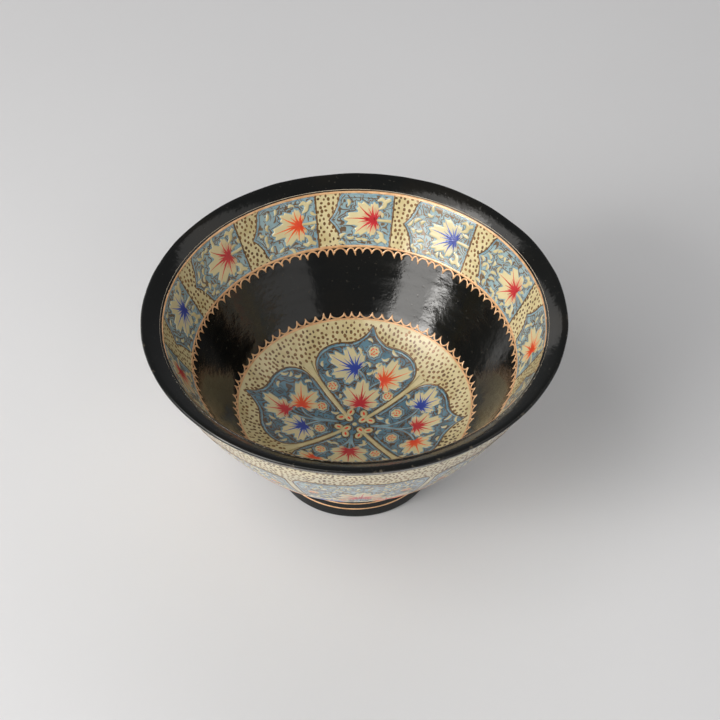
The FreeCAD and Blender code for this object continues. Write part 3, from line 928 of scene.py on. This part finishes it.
def paint_flower(work, place, middle, size=2.05):
    """A small round flower with a cream face and a ring of red dashes."""
    patch = moved(place, middle, wobble(180))
    rim = [cmath.rect(size * (1 + 0.09 * math.sin(k * 2.0)), k * math.tau / 26) for k in range(26)]
    work.leaf_field("halos", patch, [p * 1.45 for p in rim], 0j, (0.0, 0.4, 0.8, 0.95, 1.0))
    work.leaf_field("flowers", patch, rim, 0j, (0.0, 0.4, 0.8, 0.93, 1.0))
    work.stroke("contours", patch, [p * 1.14 for p in rim], 0.16, closed=True)
    work.stroke("contours", patch, [p * 1.62 for p in rim[:19]], 0.15)
    for k in range(6):
        start = cmath.rect(size * 0.56, math.radians(60 * k + wobble(14)))
        dash = cmath.rect(size * 0.22, math.radians(60 * k + 60 + wobble(40)))
        work.stroke("vermilion", patch, [start - dash, start, start + dash], (0.28, 0.44, 0.28), 0.15)
    work.stroke("vermilion", patch, [-0.4 + 0j, 0.1j, 0.45 + 0j], (0.26, 0.42, 0.26), 0.15)


def paint_mark(work, place, spots, halo, half):
    """A cream brush mark on a wider blue one."""
    work.stroke("halos", place, spots, halo)
    work.stroke("marks", place, spots, half)


def paint_comma(work, place, spot, heading, length, turn, half=0.5):
    """A cream brush comma on a blue halo, with a brown line round its back."""
    body = bend(spot, heading, length, turn)
    start = bend(spot, heading + 180, 0.5, 0, 3)[::-1]
    body = start[:-1] + body
    halo = (0.3, half + 0.42, half + 0.45, half + 0.3, 0.25)
    paint_mark(work, place, body, halo, (0.12, half, half, half * 0.6, 0.07))
    side = -1 if turn > 0 else 1
    aside = cmath.rect(half + 0.75, math.radians(heading + 90 * side))
    back = bend(spot + aside, heading, length * 1.15, turn * 1.1)
    work.stroke("contours", place, back, (0.05, 0.17, 0.17, 0.05))


def fill_ground(work, place, spots, inside, taken, half=0.5):
    """Crowds commas and curls into what the leaves leave free."""
    for spot in spots:
        room = min((abs(spot - middle) - reach for middle, reach in taken), default=9.0)
        if room < 0.55 or not inside(spot):
            continue
        heading, side = HAND.uniform(0, 360), HAND.choice((-1, 1))
        if room > 1.0:
            length = HAND.uniform(2.0, 3.2)
            spot -= cmath.rect(length * 0.45, math.radians(heading))
            paint_comma(work, place, spot, heading, length, side * HAND.uniform(60, 150), half)
            taken.append((spot, 1.3))
        else:
            spots_of_curl = bend(spot, heading, 1.8, side * 260)
            work.stroke("contours", place, spots_of_curl, (0.05, 0.18, 0.15, 0.05))


def grid_spots(x_low, x_high, y_low, y_high, gap):
    rows = int((y_high - y_low) / (gap * 0.87)) + 1
    columns = int((x_high - x_low) / gap) + 1
    return [
        complex(
            x_low + (i + 0.5 * (j % 2)) * gap + wobble(gap * 0.22),
            y_low + j * gap * 0.87 + wobble(gap * 0.22),
        )
        for j in range(rows)
        for i in range(columns)
    ]


def leaf_room(base, heading, length):
    return base + cmath.rect(length * 0.46, math.radians(heading)), length * 0.56


def paint_border(work, place, edge, half):
    """A brown outline with a blue line and a thin brown line inside it."""
    work.stroke("outlines", place, edge(0.0), half)
    work.stroke("halos", place, edge(0.85), 0.34)
    work.stroke("contours", place, edge(1.5), 0.15)


def paint_spray(work, place, root, heading, leaves, stem_widths, edge_widths):
    """Leaves on stems from one root; gives back the room that they take."""
    taken = []
    for vein, base, leaf_heading, length, left, right in leaves:
        stem = swing(root, heading, base, leaf_heading)
        work.stroke("contours", place, stem, edge_widths)
        work.stroke("stems", place, stem, stem_widths)
        paint_leaf(work, place, base, leaf_heading, length, vein, left, right)
        taken += [leaf_room(base, leaf_heading, length), *((p, 0.9) for p in stem)]
    return taken


# ---------------------------------------------------------------- frieze under the lip

# Flat end and tip of each panel in degrees, and the colour of its leaf's veins.
PANELS = (
    (188.7, 214.0, "crimson"),
    (160.0, 182.9, "indigo"),
    (130.8, 155.7, "crimson"),
    (102.7, 126.5, "vermilion"),
    (77.1, 98.75, "crimson"),
    (47.9, 73.3, "indigo"),
    (16.2, 44.0, "crimson"),
    (-12.1, 11.25, "vermilion"),
    (-43.9, -17.5, "crimson"),
    (-75.8, -49.5, "indigo"),
    (-107.6, -81.0, "crimson"),
    (-139.5, -113.0, "vermilion"),
)
PANEL_LEAF, LEAF_BASE = 12.3, 6.4 + 0j  # length of a panel's leaf, and its base from the flat end

# How far the pointed end of a panel draws back in degrees, from its tip to its corners.
OGEE = ((0, 0), (0.12, 1.1), (0.25, 1.9), (0.5, 3.0), (0.75, 3.6), (0.9, 4.2), (1.0, 5.2))


def slope_at(table, k):
    """Slope of a smooth curve through a table at one of its points."""
    (a, low), (b, high) = table[max(k - 1, 0)], table[min(k + 1, len(table) - 1)]
    return (high - low) / (b - a)


def between(table, key):
    """Smooth curve through the points of a table, which starts at a point of its own."""
    for k, ((a, low), (b, high)) in enumerate(zip(table, table[1:])):
        if a <= key <= b:
            span, t = b - a, (key - a) / (b - a)
            rise_a, rise_b = slope_at(table, k) * span, slope_at(table, k + 1) * span
            step = t * t * (3 - 2 * t)
            return low + (high - low) * step + rise_a * t * (1 - t) ** 2 - rise_b * t * t * (1 - t)
    return table[-1][1]


def shares(count, margin=0.02):
    """Even shares from 0 to 1 with a narrow margin at both ends."""
    return [0.0, margin] + [k / count for k in range(1, count)] + [1.0 - margin, 1.0]


def band_rows(start, end, low=BAND_LOW, high=BAND_HIGH, across=18, up=13, course=INSIDE):
    """Places of a piece of a band between two edges, given as functions of the share of its height."""
    return [
        [
            (spun(course.at(low + (high - low) * v), start(v) + (end(v) - start(v)) * u), u)
            for u in shares(across)
        ]
        for v in shares(up)
    ]


def frieze():
    work = Paintwork("frieze")
    high = BAND_HIGH - BAND_LOW
    rows = []
    for v in shares(40, 0.012):
        point = INSIDE.at(BAND_LOW + high * v)
        rows.append([(spun(point, 360 * k / 280), 0.0) for k in range(280)])
    work.field("ground", rows, closed=True)
    gaps = []
    for k, (flat, tip, vein) in enumerate(PANELS):
        lean = wobble(0.5)

        def flat_end(v, flat=flat, lean=lean):
            return flat + lean * (v - 0.5)

        def ogee(v, tip=tip):
            return tip - between(OGEE, abs(2 * v - 1))

        work.field("blue", band_rows(flat_end, ogee, across=22))
        next_flat = PANELS[k - 1][0] + (360 if k == 0 else 0)
        gaps.append(band_rows(ogee, lambda v, n=next_flat: n, across=8))
        place = on_side(INSIDE, flat, (BAND_LOW + BAND_HIGH) / 2, 1)
        paint_panel(work, place, flat_end, ogee, flat, tip, vein, high)
    lay_paint(work, "frieze_blue")
    lay_dots("frieze_dots", gaps, 3)


def paint_panel(work, place, flat_end, ogee, flat, tip, vein, high):
    """One blue panel: its borders, stem, leaf and crowded marks."""
    steps = [k / 24 for k in range(25)]

    def around(v, degrees, inset=0.0):
        point = INSIDE.at(BAND_LOW + high * v)
        return complex(math.radians(degrees - flat) * point.real - inset, high * (v - 0.5))

    straight = [around(v, flat_end(v)) for v in steps]
    pointed = [around(v, ogee(v)) for v in steps]
    work.stroke("outlines", place, straight, 0.36)
    work.stroke("outlines", place, pointed, 0.26)
    work.stroke("halos", place, [around(v, flat_end(v), -0.75) for v in steps[1:-1]], 0.26)
    work.stroke("halos", place, [around(v, ogee(v), 0.75) for v in steps[1:-1]], 0.30)
    work.stroke("contours", place, [around(v, ogee(v), 1.35) for v in steps[2:-2]], 0.15)
    for edge in (0.035, 0.965):
        low, far = around(edge, flat).real + 0.6, around(edge, ogee(edge)).real - 0.5
        height = high * (edge - 0.5)
        spots = [complex(low + (far - low) * k / 16, height) for k in range(17)]
        work.stroke("halos", place, spots, 0.28)
        inner = [p.real + 0.86j * p.imag for p in spots[1:-1]]
        work.stroke("contours", place, inner, 0.14)
    work.stroke("marks", place, swing(0.4 + 0j, wobble(8), 6.3 + 0j, wobble(8)), (0.72, 0.62, 0.5))
    work.stroke("halos", place, swing(0.3 + 0j, 0, LEAF_BASE, 0), (1.15, 1.05, 0.9))
    length = PANEL_LEAF * (0.9 + 0.1 * (tip - flat) / 24)
    heading, left, right = wobble(5), HAND.uniform(0.84, 1.0), HAND.uniform(0.84, 1.0)
    paint_leaf(work, place, LEAF_BASE, heading, length, vein, left, right)
    taken = [leaf_room(LEAF_BASE, 0, length), (3 + 0j, 1.6)]
    for side in (-1, 1):
        bird = [complex(x, y * side) for x, y in ((1.3, 8.4), (3.2, 7.3), (3.5, 5.4), (5.4, 4.3))]
        paint_mark(work, place, bird, (1.3, 1.6, 1.5, 0.8), (0.7, 1.0, 0.95, 0.3))
        wing = [complex(x, y * side) for x, y in ((3.2, 7.2), (4.6, 8.3), (6.2, 7.4))]
        paint_mark(work, place, wing, (1.3, 1.4, 0.8), (0.8, 0.9, 0.3))
        taken += [(3 + 7j * side, 2.6), (5 + 7j * side, 2.2)]
    end = around(0.5, tip).real

    def inside(spot):
        limit = end - 1.9 - math.radians(between(OGEE, min(1, abs(2 * spot.imag / high)))) * 64
        return 1.2 < spot.real < limit and abs(spot.imag) < high / 2 - 1.7

    fill_ground(work, place, grid_spots(1, end, -high / 2, high / 2, 2.5), inside, taken, 0.72)


# ---------------------------------------------------------------- medallion on the floor

# Reach of a petal by degrees from its tip.
PETAL = (
    *((0, 41.4), (3, 38.2), (10, 35.4), (21, 35.3), (30, 34.3)),
    *((36, 32.3), (40, 29.4), (42, 26.4), (45, 23)),
)

# Each petal's tip in degrees, its leaves as vein colour, base, heading, length and the size of their left
# and right sides, and its flowers.
PETALS = (
    (
        80,
        (
            ("indigo", 0.9 + 24.7j, 152, 12.0, 0.9, 0.9),
            ("vermilion", 10.4 + 19.2j, 12, 12.0, 0.94, 0.7),
            ("crimson", 2.0 + 9.2j, 83, 11.8, 0.92, 0.92),
        ),
        (7.4 + 31.3j, -8.3 + 17.5j, 12.4 + 12.5j),
    ),
    (
        170,
        (
            ("crimson", -25.0 + 3.4j, 150, 10.6, 0.9, 0.6),
            ("vermilion", -19.8 + 7.0j, 92, 11.0, 0.6, 0.95),
            ("indigo", -18.6 - 2.4j, 216, 10.4, 1.0, 0.9),
        ),
        (-12.3 + 8j, -12.9 - 3.1j),
    ),
    (
        260,
        (
            ("crimson", -2.1 - 14.1j, 268, 11, 1.0, 1.0),
            ("vermilion", -14.7 - 20.2j, 240, 10, 1.0, 1.0),
            ("indigo", 8 - 25j, 290, 10, 1.0, 1.0),
        ),
        (-12.6 - 14.7j, 7.4 - 16.9j),
    ),
    (
        350,
        (
            ("indigo", 24.2 + 4.8j, 50, 10.0, 0.85, 0.9),
            ("crimson", 22.2 - 4.4j, 6, 10.4, 0.85, 0.85),
            ("vermilion", 22.0 - 12.4j, -80, 8.8, 1.0, 1.0),
        ),
        (15.6 + 4j, 13.5 - 8.6j),
    ),
)
BAR_START, BAR_END = 5.0, 31.0


def petal_reach(degrees, tip=80):
    """Reach of the petals at an angle round the middle."""
    off = (degrees - tip + 45) % 90 - 45
    return between(PETAL, abs(off))


def petal_line(tip, inset):
    """The edge of a petal, from beside one bar round the tip to beside the next."""
    left, right = [], []
    for way, half in ((-1, left), (1, right)):
        half += [
            cmath.rect(between(PETAL, d) - inset, math.radians(tip + way * d))
            for d in (0, 1, 2, 3, 4.5, 6.5, 9, 12, 15, 18, 21, 24, 27, 30, 33, 36, 38, 39.5, 41)
        ]
        aside = cmath.rect(1.1 + inset, math.radians(tip + way * -45))
        turn = math.radians(tip + way * 45)
        half += [cmath.rect(r, turn) + aside for r in (23.5, 21, 18, 15, 12, 9 + inset)]
    return left[::-1] + right[1:]


def paint_petal(work, place, tip, leaves, flowers):
    paint_border(work, place, lambda inset: petal_line(tip, inset), 0.33)
    root = cmath.rect(6.0, math.radians(tip))
    taken = [(middle, 3.2) for middle in flowers]
    taken += paint_spray(work, place, root, tip, leaves, (0.75, 0.6, 0.45), (0.95, 0.85, 0.7))
    for middle in flowers:
        paint_flower(work, place, middle)

    def inside(spot):
        off = math.degrees(cmath.phase(spot * cmath.rect(1, -math.radians(tip))))
        edge = abs(spot) * math.sin(math.radians(45 - abs(off)))
        return abs(off) < 45 and edge > 2.4 and 7 < abs(spot) < between(PETAL, abs(off)) - 2.2

    middle = cmath.rect(21, math.radians(tip))
    spots = grid_spots(middle.real - 22, middle.real + 22, middle.imag - 22, middle.imag + 22, 2.7)
    fill_ground(work, place, spots, inside, taken, 0.6)


CIRCLE = [cmath.rect(1, k * math.tau / 18) for k in range(18)]


def paint_bars(work, place):
    """Cream bars between the petals, each with a trefoil at its inner end."""
    for tip, _, _ in PETALS:
        along = cmath.rect(1, math.radians(tip + 45))
        bar = [along * (BAR_START + (BAR_END - BAR_START) * k / 20) for k in range(21)]
        work.stroke("marks", place, bar, (0.75, 0.8, 0.85, 0.9, 0.95, 1.15, 2.0))
        for reach, off, lean in ((3.7, 0, 0), (6.1, 21, 62), (6.1, -21, -62)):
            lobe = cmath.rect(reach, math.radians(tip + 45 + off))
            turn = cmath.rect(1, math.radians(tip + 45 + lean))
            rim = [lobe + turn * complex(1.75 * z.real, 1.35 * z.imag) for z in CIRCLE]
            work.leaf_field("flowers", place, rim, lobe, (0.0, 0.5, 0.85, 1.0))
            work.stroke("contours", place, [lobe + (p - lobe) * 1.2 for p in rim], 0.2, closed=True)
            dash = 0.8 * turn
            work.stroke("vermilion", place, [lobe - dash, lobe, lobe + dash], (0.3, 0.58, 0.3), 0.2)
    eye = [0.9 * z for z in CIRCLE]
    work.leaf_field("flowers", place, eye, 0j, (0.0, 0.5, 0.85, 1.0))


def medallion():
    work = Paintwork("medallion")
    rings = [0.0] + [MEDALLION_RING * k / 24 for k in range(1, 24)] + [42.9, 43.2]
    disc = [[(on_floor(cmath.rect(r, k * math.tau / 200)), 0.0) for k in range(200)] for r in rings]
    work.field("ground", disc, closed=True, pole=True)
    star = []
    for share in [k / 20 for k in range(20)] + [0.985, 1.0]:
        row = [cmath.rect(share * petal_reach(k * 2), math.radians(k * 2)) for k in range(180)]
        star.append([(on_floor(p), 0.0) for p in row])
    work.field("blue", star, closed=True, pole=True)
    for tip, leaves, flowers in PETALS:
        paint_petal(work, on_floor, tip, leaves, flowers)
    paint_bars(work, on_floor)
    lay_paint(work, "medallion_blue")
    lay_dots("medallion_dots", [spandrels()], 5, 1.52, 0.70)


def spandrels():
    """The cream ground between the petals and the ring."""
    rows = []
    for share in shares(6):
        row = []
        for k in range(361):
            inner = petal_reach(k) + 0.7
            if abs((k - 80 + 45) % 90 - 45) > 40:
                inner += 3.0
            reach = inner + (MEDALLION_RING - 0.9 - inner) * share
            row.append((on_floor(cmath.rect(reach, math.radians(k))), 0.0))
        rows.append(row)
    return rows


# ---------------------------------------------------------------- gold lines and scallops


def ring_line(course, run, wave, tilt=0.0, count=240):
    """A hand-drawn line round the bowl, which may sit a little higher at the back."""
    phases = [wobble(math.pi) for _ in range(4)]
    spots = []
    for k in range(count):
        angle = math.tau * k / count
        drift = sum(math.sin(angle * n + p) / n for n, p in zip((2, 3, 7, 13), phases))
        spots.append((run + wave * drift + tilt * math.sin(angle), 360.0 * k / count))
    return [spun(course.at(r), a) for r, a in spots]


def gold_ring(work, course, run, wave, half, tilt=0.0):
    ring = ring_line(course, run, wave, tilt)
    widths = tuple(half * HAND.uniform(0.82, 1.18) for _ in range(40))
    widths += (widths[0],)
    spots = dict(enumerate(ring))
    work.stroke("gold", lambda k: spots[k], list(range(len(ring))), widths, closed=True)


def scallops(work, course, run, way, count, depth):
    """A row of little arches, each cusp with a tail of paint."""
    cusps = [360.0 * (k + wobble(0.22)) / count for k in range(count)]
    for k, left in enumerate(cusps):
        right = cusps[(k + 1) % count] + (360.0 if k == count - 1 else 0.0)
        reach = depth * HAND.uniform(0.78, 1.25)
        arch = []
        for step in range(9):
            t = step / 8
            rise = math.sin(math.pi * t) ** 0.65
            arch.append((run + way * (reach - (reach - 0.35) * rise), left + (right - left) * t))
        places = dict(enumerate([spun(course.at(r), a) for r, a in arch]))
        work.stroke("gold", lambda s: places[s], list(range(9)), (0.42, 0.33, 0.32, 0.34, 0.44))
        tail = [(run + way * (reach + d), left + wobble(0.15)) for d in (-0.2, 0.3, 0.8)]
        tips = dict(enumerate([spun(course.at(r), a) for r, a in tail]))
        work.stroke("gold", lambda s: tips[s], [0, 1, 2], (0.46, 0.36, 0.1))


def gold_work():
    """Gold lines and scallops of the inside, and the two lines of the foot."""
    work = Paintwork("inside")
    gold_ring(work, INSIDE, INSIDE.run_to(FRIEZE_HIGH - 0.15), 0.10, 0.60, 0.45)
    gold_ring(work, INSIDE, INSIDE.run_to(FRIEZE_LOW - 0.05), 0.10, 0.56)
    gold_ring(work, INSIDE, INSIDE.run_to(MEDALLION_RING), 0.10, 0.45)
    scallops(work, INSIDE, INSIDE.run_to(FRIEZE_LOW - 0.2), -1, 100, 2.0)
    scallops(work, INSIDE, INSIDE.run_to(MEDALLION_RING + 0.1), 1, 75, 1.9)
    lay_paint(work, "pale_blue")
    foot = Paintwork("foot")
    side = Course([foot_side(h / 4) for h in range(2, 70)])
    for height in FOOT_LINES:
        run = (height - side.points[0].imag) / math.cos(FOOT_LEAN)
        gold_ring(foot, side, run, 0.06, 0.34)
    lay_paint(foot, "pale_blue")


# ---------------------------------------------------------------- outside

OUTSIDE_TIPS = [-88 + 45 * k for k in range(8)]
PETAL_TOP = ((0, 10.2), (2, 11.4), (5, 12.4), (10, 12.6), (14, 12.8), (18, 13.6), (20.5, 15.2), (21.5, 18))
VEINS = ("crimson", "indigo", "vermilion")


def outside_petal_edge(share):
    """Half-width of an outside petal in degrees, from its top corner to the foot."""
    return 21.4 - 0.9 * share


def outside():
    """Eight blue petals that rise from the foot, under a stippled cream band."""
    work = Paintwork("outside")
    clear = foot_meets(SKIN).real + 2.0
    foot_run = next(run for point, run in zip(OUTSIDE.points, OUTSIDE.marks) if point.real < clear)
    top_band = []
    for number, tip in enumerate(OUTSIDE_TIPS):
        rows = []
        for v in shares(34, 0.008):
            row = []
            for u in shares(30, 0.01):
                off = (2 * u - 1) * outside_petal_edge(v)
                top = between(PETAL_TOP, abs(2 * u - 1) * 21.5)
                run = top + (foot_run - top) * v
                row.append((spun(OUTSIDE.at(run), tip + off), 0.0))
            rows.append(row)
        work.field("blue", rows)
        paint_outside_petal(work, tip, foot_run, number)
    for v in shares(8):
        row = []
        for k in range(361):
            off = abs((k - OUTSIDE_TIPS[0] + 22.5) % 45 - 22.5)
            end = between(PETAL_TOP, off) - 0.8
            row.append((spun(OUTSIDE.at(0.8 + (end - 0.8) * v), k), 0.0))
        top_band.append(row)
    lay_paint(work, "frieze_blue")
    lay_dots("outside_dots", [top_band], 9)


def paint_outside_petal(work, tip, foot_run, number):
    place = on_side(OUTSIDE, tip, foot_run, -1)

    def edge(way, inset):
        spots = []
        for k in range(30):
            off = way * 21.5 * k / 29
            run = between(PETAL_TOP, abs(off)) + inset
            point = OUTSIDE.at(run)
            aside = way * inset if k > 24 else 0.0
            spots.append(complex(math.radians(off) * point.real - aside, foot_run - run))
        for k in range(1, 16):
            run = 18 + (foot_run - 18) * k / 15
            point = OUTSIDE.at(run)
            off = way * outside_petal_edge(k / 15)
            spots.append(complex(math.radians(off) * point.real - way * inset, foot_run - run))
        return spots

    for way in (-1, 1):
        paint_border(work, place, lambda inset, way=way: edge(way, inset), 0.27)
    vein, left, right = VEINS[number % 3], VEINS[(number + 1) % 3], VEINS[(number + 2) % 3]
    leaves = (
        (vein, 0.6 + 12j, 90, 13.5, 1.0, 1.0),
        (left, -9.5 + 21j, 128, 13, 1.0, 1.0),
        (right, 9 + 21.5j, 52, 13, 1.0, 1.0),
        (vein, wobble(1) + 33j, 90 + wobble(6), 13, 1.0, 1.0),
    )
    flowers = (-8.5 + 14.5j, 9 + 14j, -16.5 + 40.5j, 16 + 41j, -6 + 29.5j, 6.2 + 30j)
    taken = [(middle, 3.3) for middle in flowers]
    taken += paint_spray(work, place, 1j, 90, leaves, (0.85, 0.7, 0.5), (1.1, 0.95, 0.75))
    for middle in flowers:
        paint_flower(work, place, middle, 2.2)

    def inside(spot):
        run = foot_run - spot.imag
        if not 11 < run < foot_run - 2:
            return False
        off = math.degrees(abs(spot.real) / OUTSIDE.at(run).real)
        return off < 18.2 and run > between(PETAL_TOP, off) + 2.4

    fill_ground(work, place, grid_spots(-27, 27, 2, foot_run - 10, 3.1), inside, taken)


frieze()
medallion()
gold_work()
outside()
bpy.data.objects.remove(SKIN_SURFACE)

# ---------------------------------------------------------------- floor, light and camera

RIM_MIDDLE = Vector((0.0, 0.0, 0.076))


def pale_floor():
    """A matt grey sweep whose colour darkens a little towards the back: painted shade for the light falling
    off there.
    """
    mesh = bpy.data.meshes.new("floor")
    mesh.from_pydata([(-4, -4, 0), (4, -4, 0), (4, 4, 0), (-4, 4, 0)], [], [(0, 1, 2, 3)])
    floor = bpy.data.objects.new("floor", mesh)
    bpy.context.scene.collection.objects.link(floor)
    material, nodes, shader, where = finish_of("pale_floor", Roughness=0.9)
    grain = nodes.noise(where, 6.0, 2.0)
    # painted shade: the floor's colour darkens towards the back, where less lamp light reaches
    back = nodes.split(where)[1].step(-0.05, 0.55)
    colour = nodes.mix(grain, (0.70, 0.706, 0.725), (0.74, 0.746, 0.765))
    nodes.feed(shader.inputs["Base Color"], nodes.mix(back * 0.35, colour, (0.48, 0.484, 0.50)))
    floor.data.materials.append(material)


def softbox(name, place, width, height, watts, only=None):
    """A soft lamp that looks at the bowl; it may be one that only lights, or one that only reflects."""
    data = bpy.data.lights.new(name, "AREA")
    data.shape = "RECTANGLE"
    data.size, data.size_y, data.energy = width, height, watts
    data.color = (1.0, 0.975, 0.94)
    lamp = bpy.data.objects.new(name, data)
    lamp.location = place
    ahead = Vector((0.0, 0.0, 0.04)) - Vector(place)
    lamp.rotation_euler = ahead.to_track_quat("-Z", "Y").to_euler()
    lamp.visible_glossy = only != "lights"
    lamp.visible_diffuse = only != "reflects"
    bpy.context.scene.collection.objects.link(lamp)


def lights():
    """Two lamps from the left, three wide fills, and cards that only show in the varnish."""
    softbox("side_softbox", (-0.95, -0.76, 0.62), 0.85, 0.75, 11.0)
    softbox("side_window", (-1.02, -0.50, 0.60), 0.22, 0.5, 3.0)
    softbox("high_softbox", (-1.0, -0.55, 1.6), 1.3, 1.3, 11.0, "lights")
    softbox("front_fill", (0.3, -1.6, 1.0), 1.2, 1.0, 7.5, "lights")
    softbox("back_fill", (0.4, 2.0, 1.5), 2.2, 1.6, 14.5, "lights")
    softbox("high_card", (-1.135, -0.60, 1.60), 2.8, 1.45, 22.0, "reflects")
    softbox("high_window", (-1.33, -0.16, 1.49), 0.7, 1.0, 7.5, "reflects")
    softbox("dim_card", (1.08, -0.76, 0.66), 1.15, 0.6, 1.5, "reflects")
    softbox("right_card", (0.95, 0.0, 1.17), 1.4, 0.8, 2.3, "reflects")
    softbox("back_card", (-1.1, 1.1, 0.70), 1.0, 0.6, 1.6, "reflects")
    world = bpy.data.worlds.new("studio")
    world.use_nodes = True
    background = world.node_tree.nodes["Background"]
    background.inputs[0].default_value = (0.97, 0.98, 1.0, 1.0)
    background.inputs[1].default_value = 0.19
    bpy.context.scene.world = world


def camera():
    """A long lens that looks down at 44 degrees from the front."""
    data = bpy.data.cameras.new("camera")
    data.lens, data.sensor_width = 126.47, 36.0
    eye = Vector((0.0, -0.6438, 0.7049))
    ahead = (RIM_MIDDLE - eye).normalized()
    right = ahead.cross(Vector((0, 0, 1))).normalized()
    above = right.cross(ahead)
    ahead = (ahead + right * 0.002135 - above * 0.018107).normalized()
    view = bpy.data.objects.new("camera", data)
    view.location = eye
    view.rotation_euler = ahead.to_track_quat("-Z", "Y").to_euler()
    bpy.context.scene.collection.objects.link(view)
    bpy.context.scene.camera = view


pale_floor()
lights()
camera()
bpy.context.scene.view_settings.view_transform = "Standard"
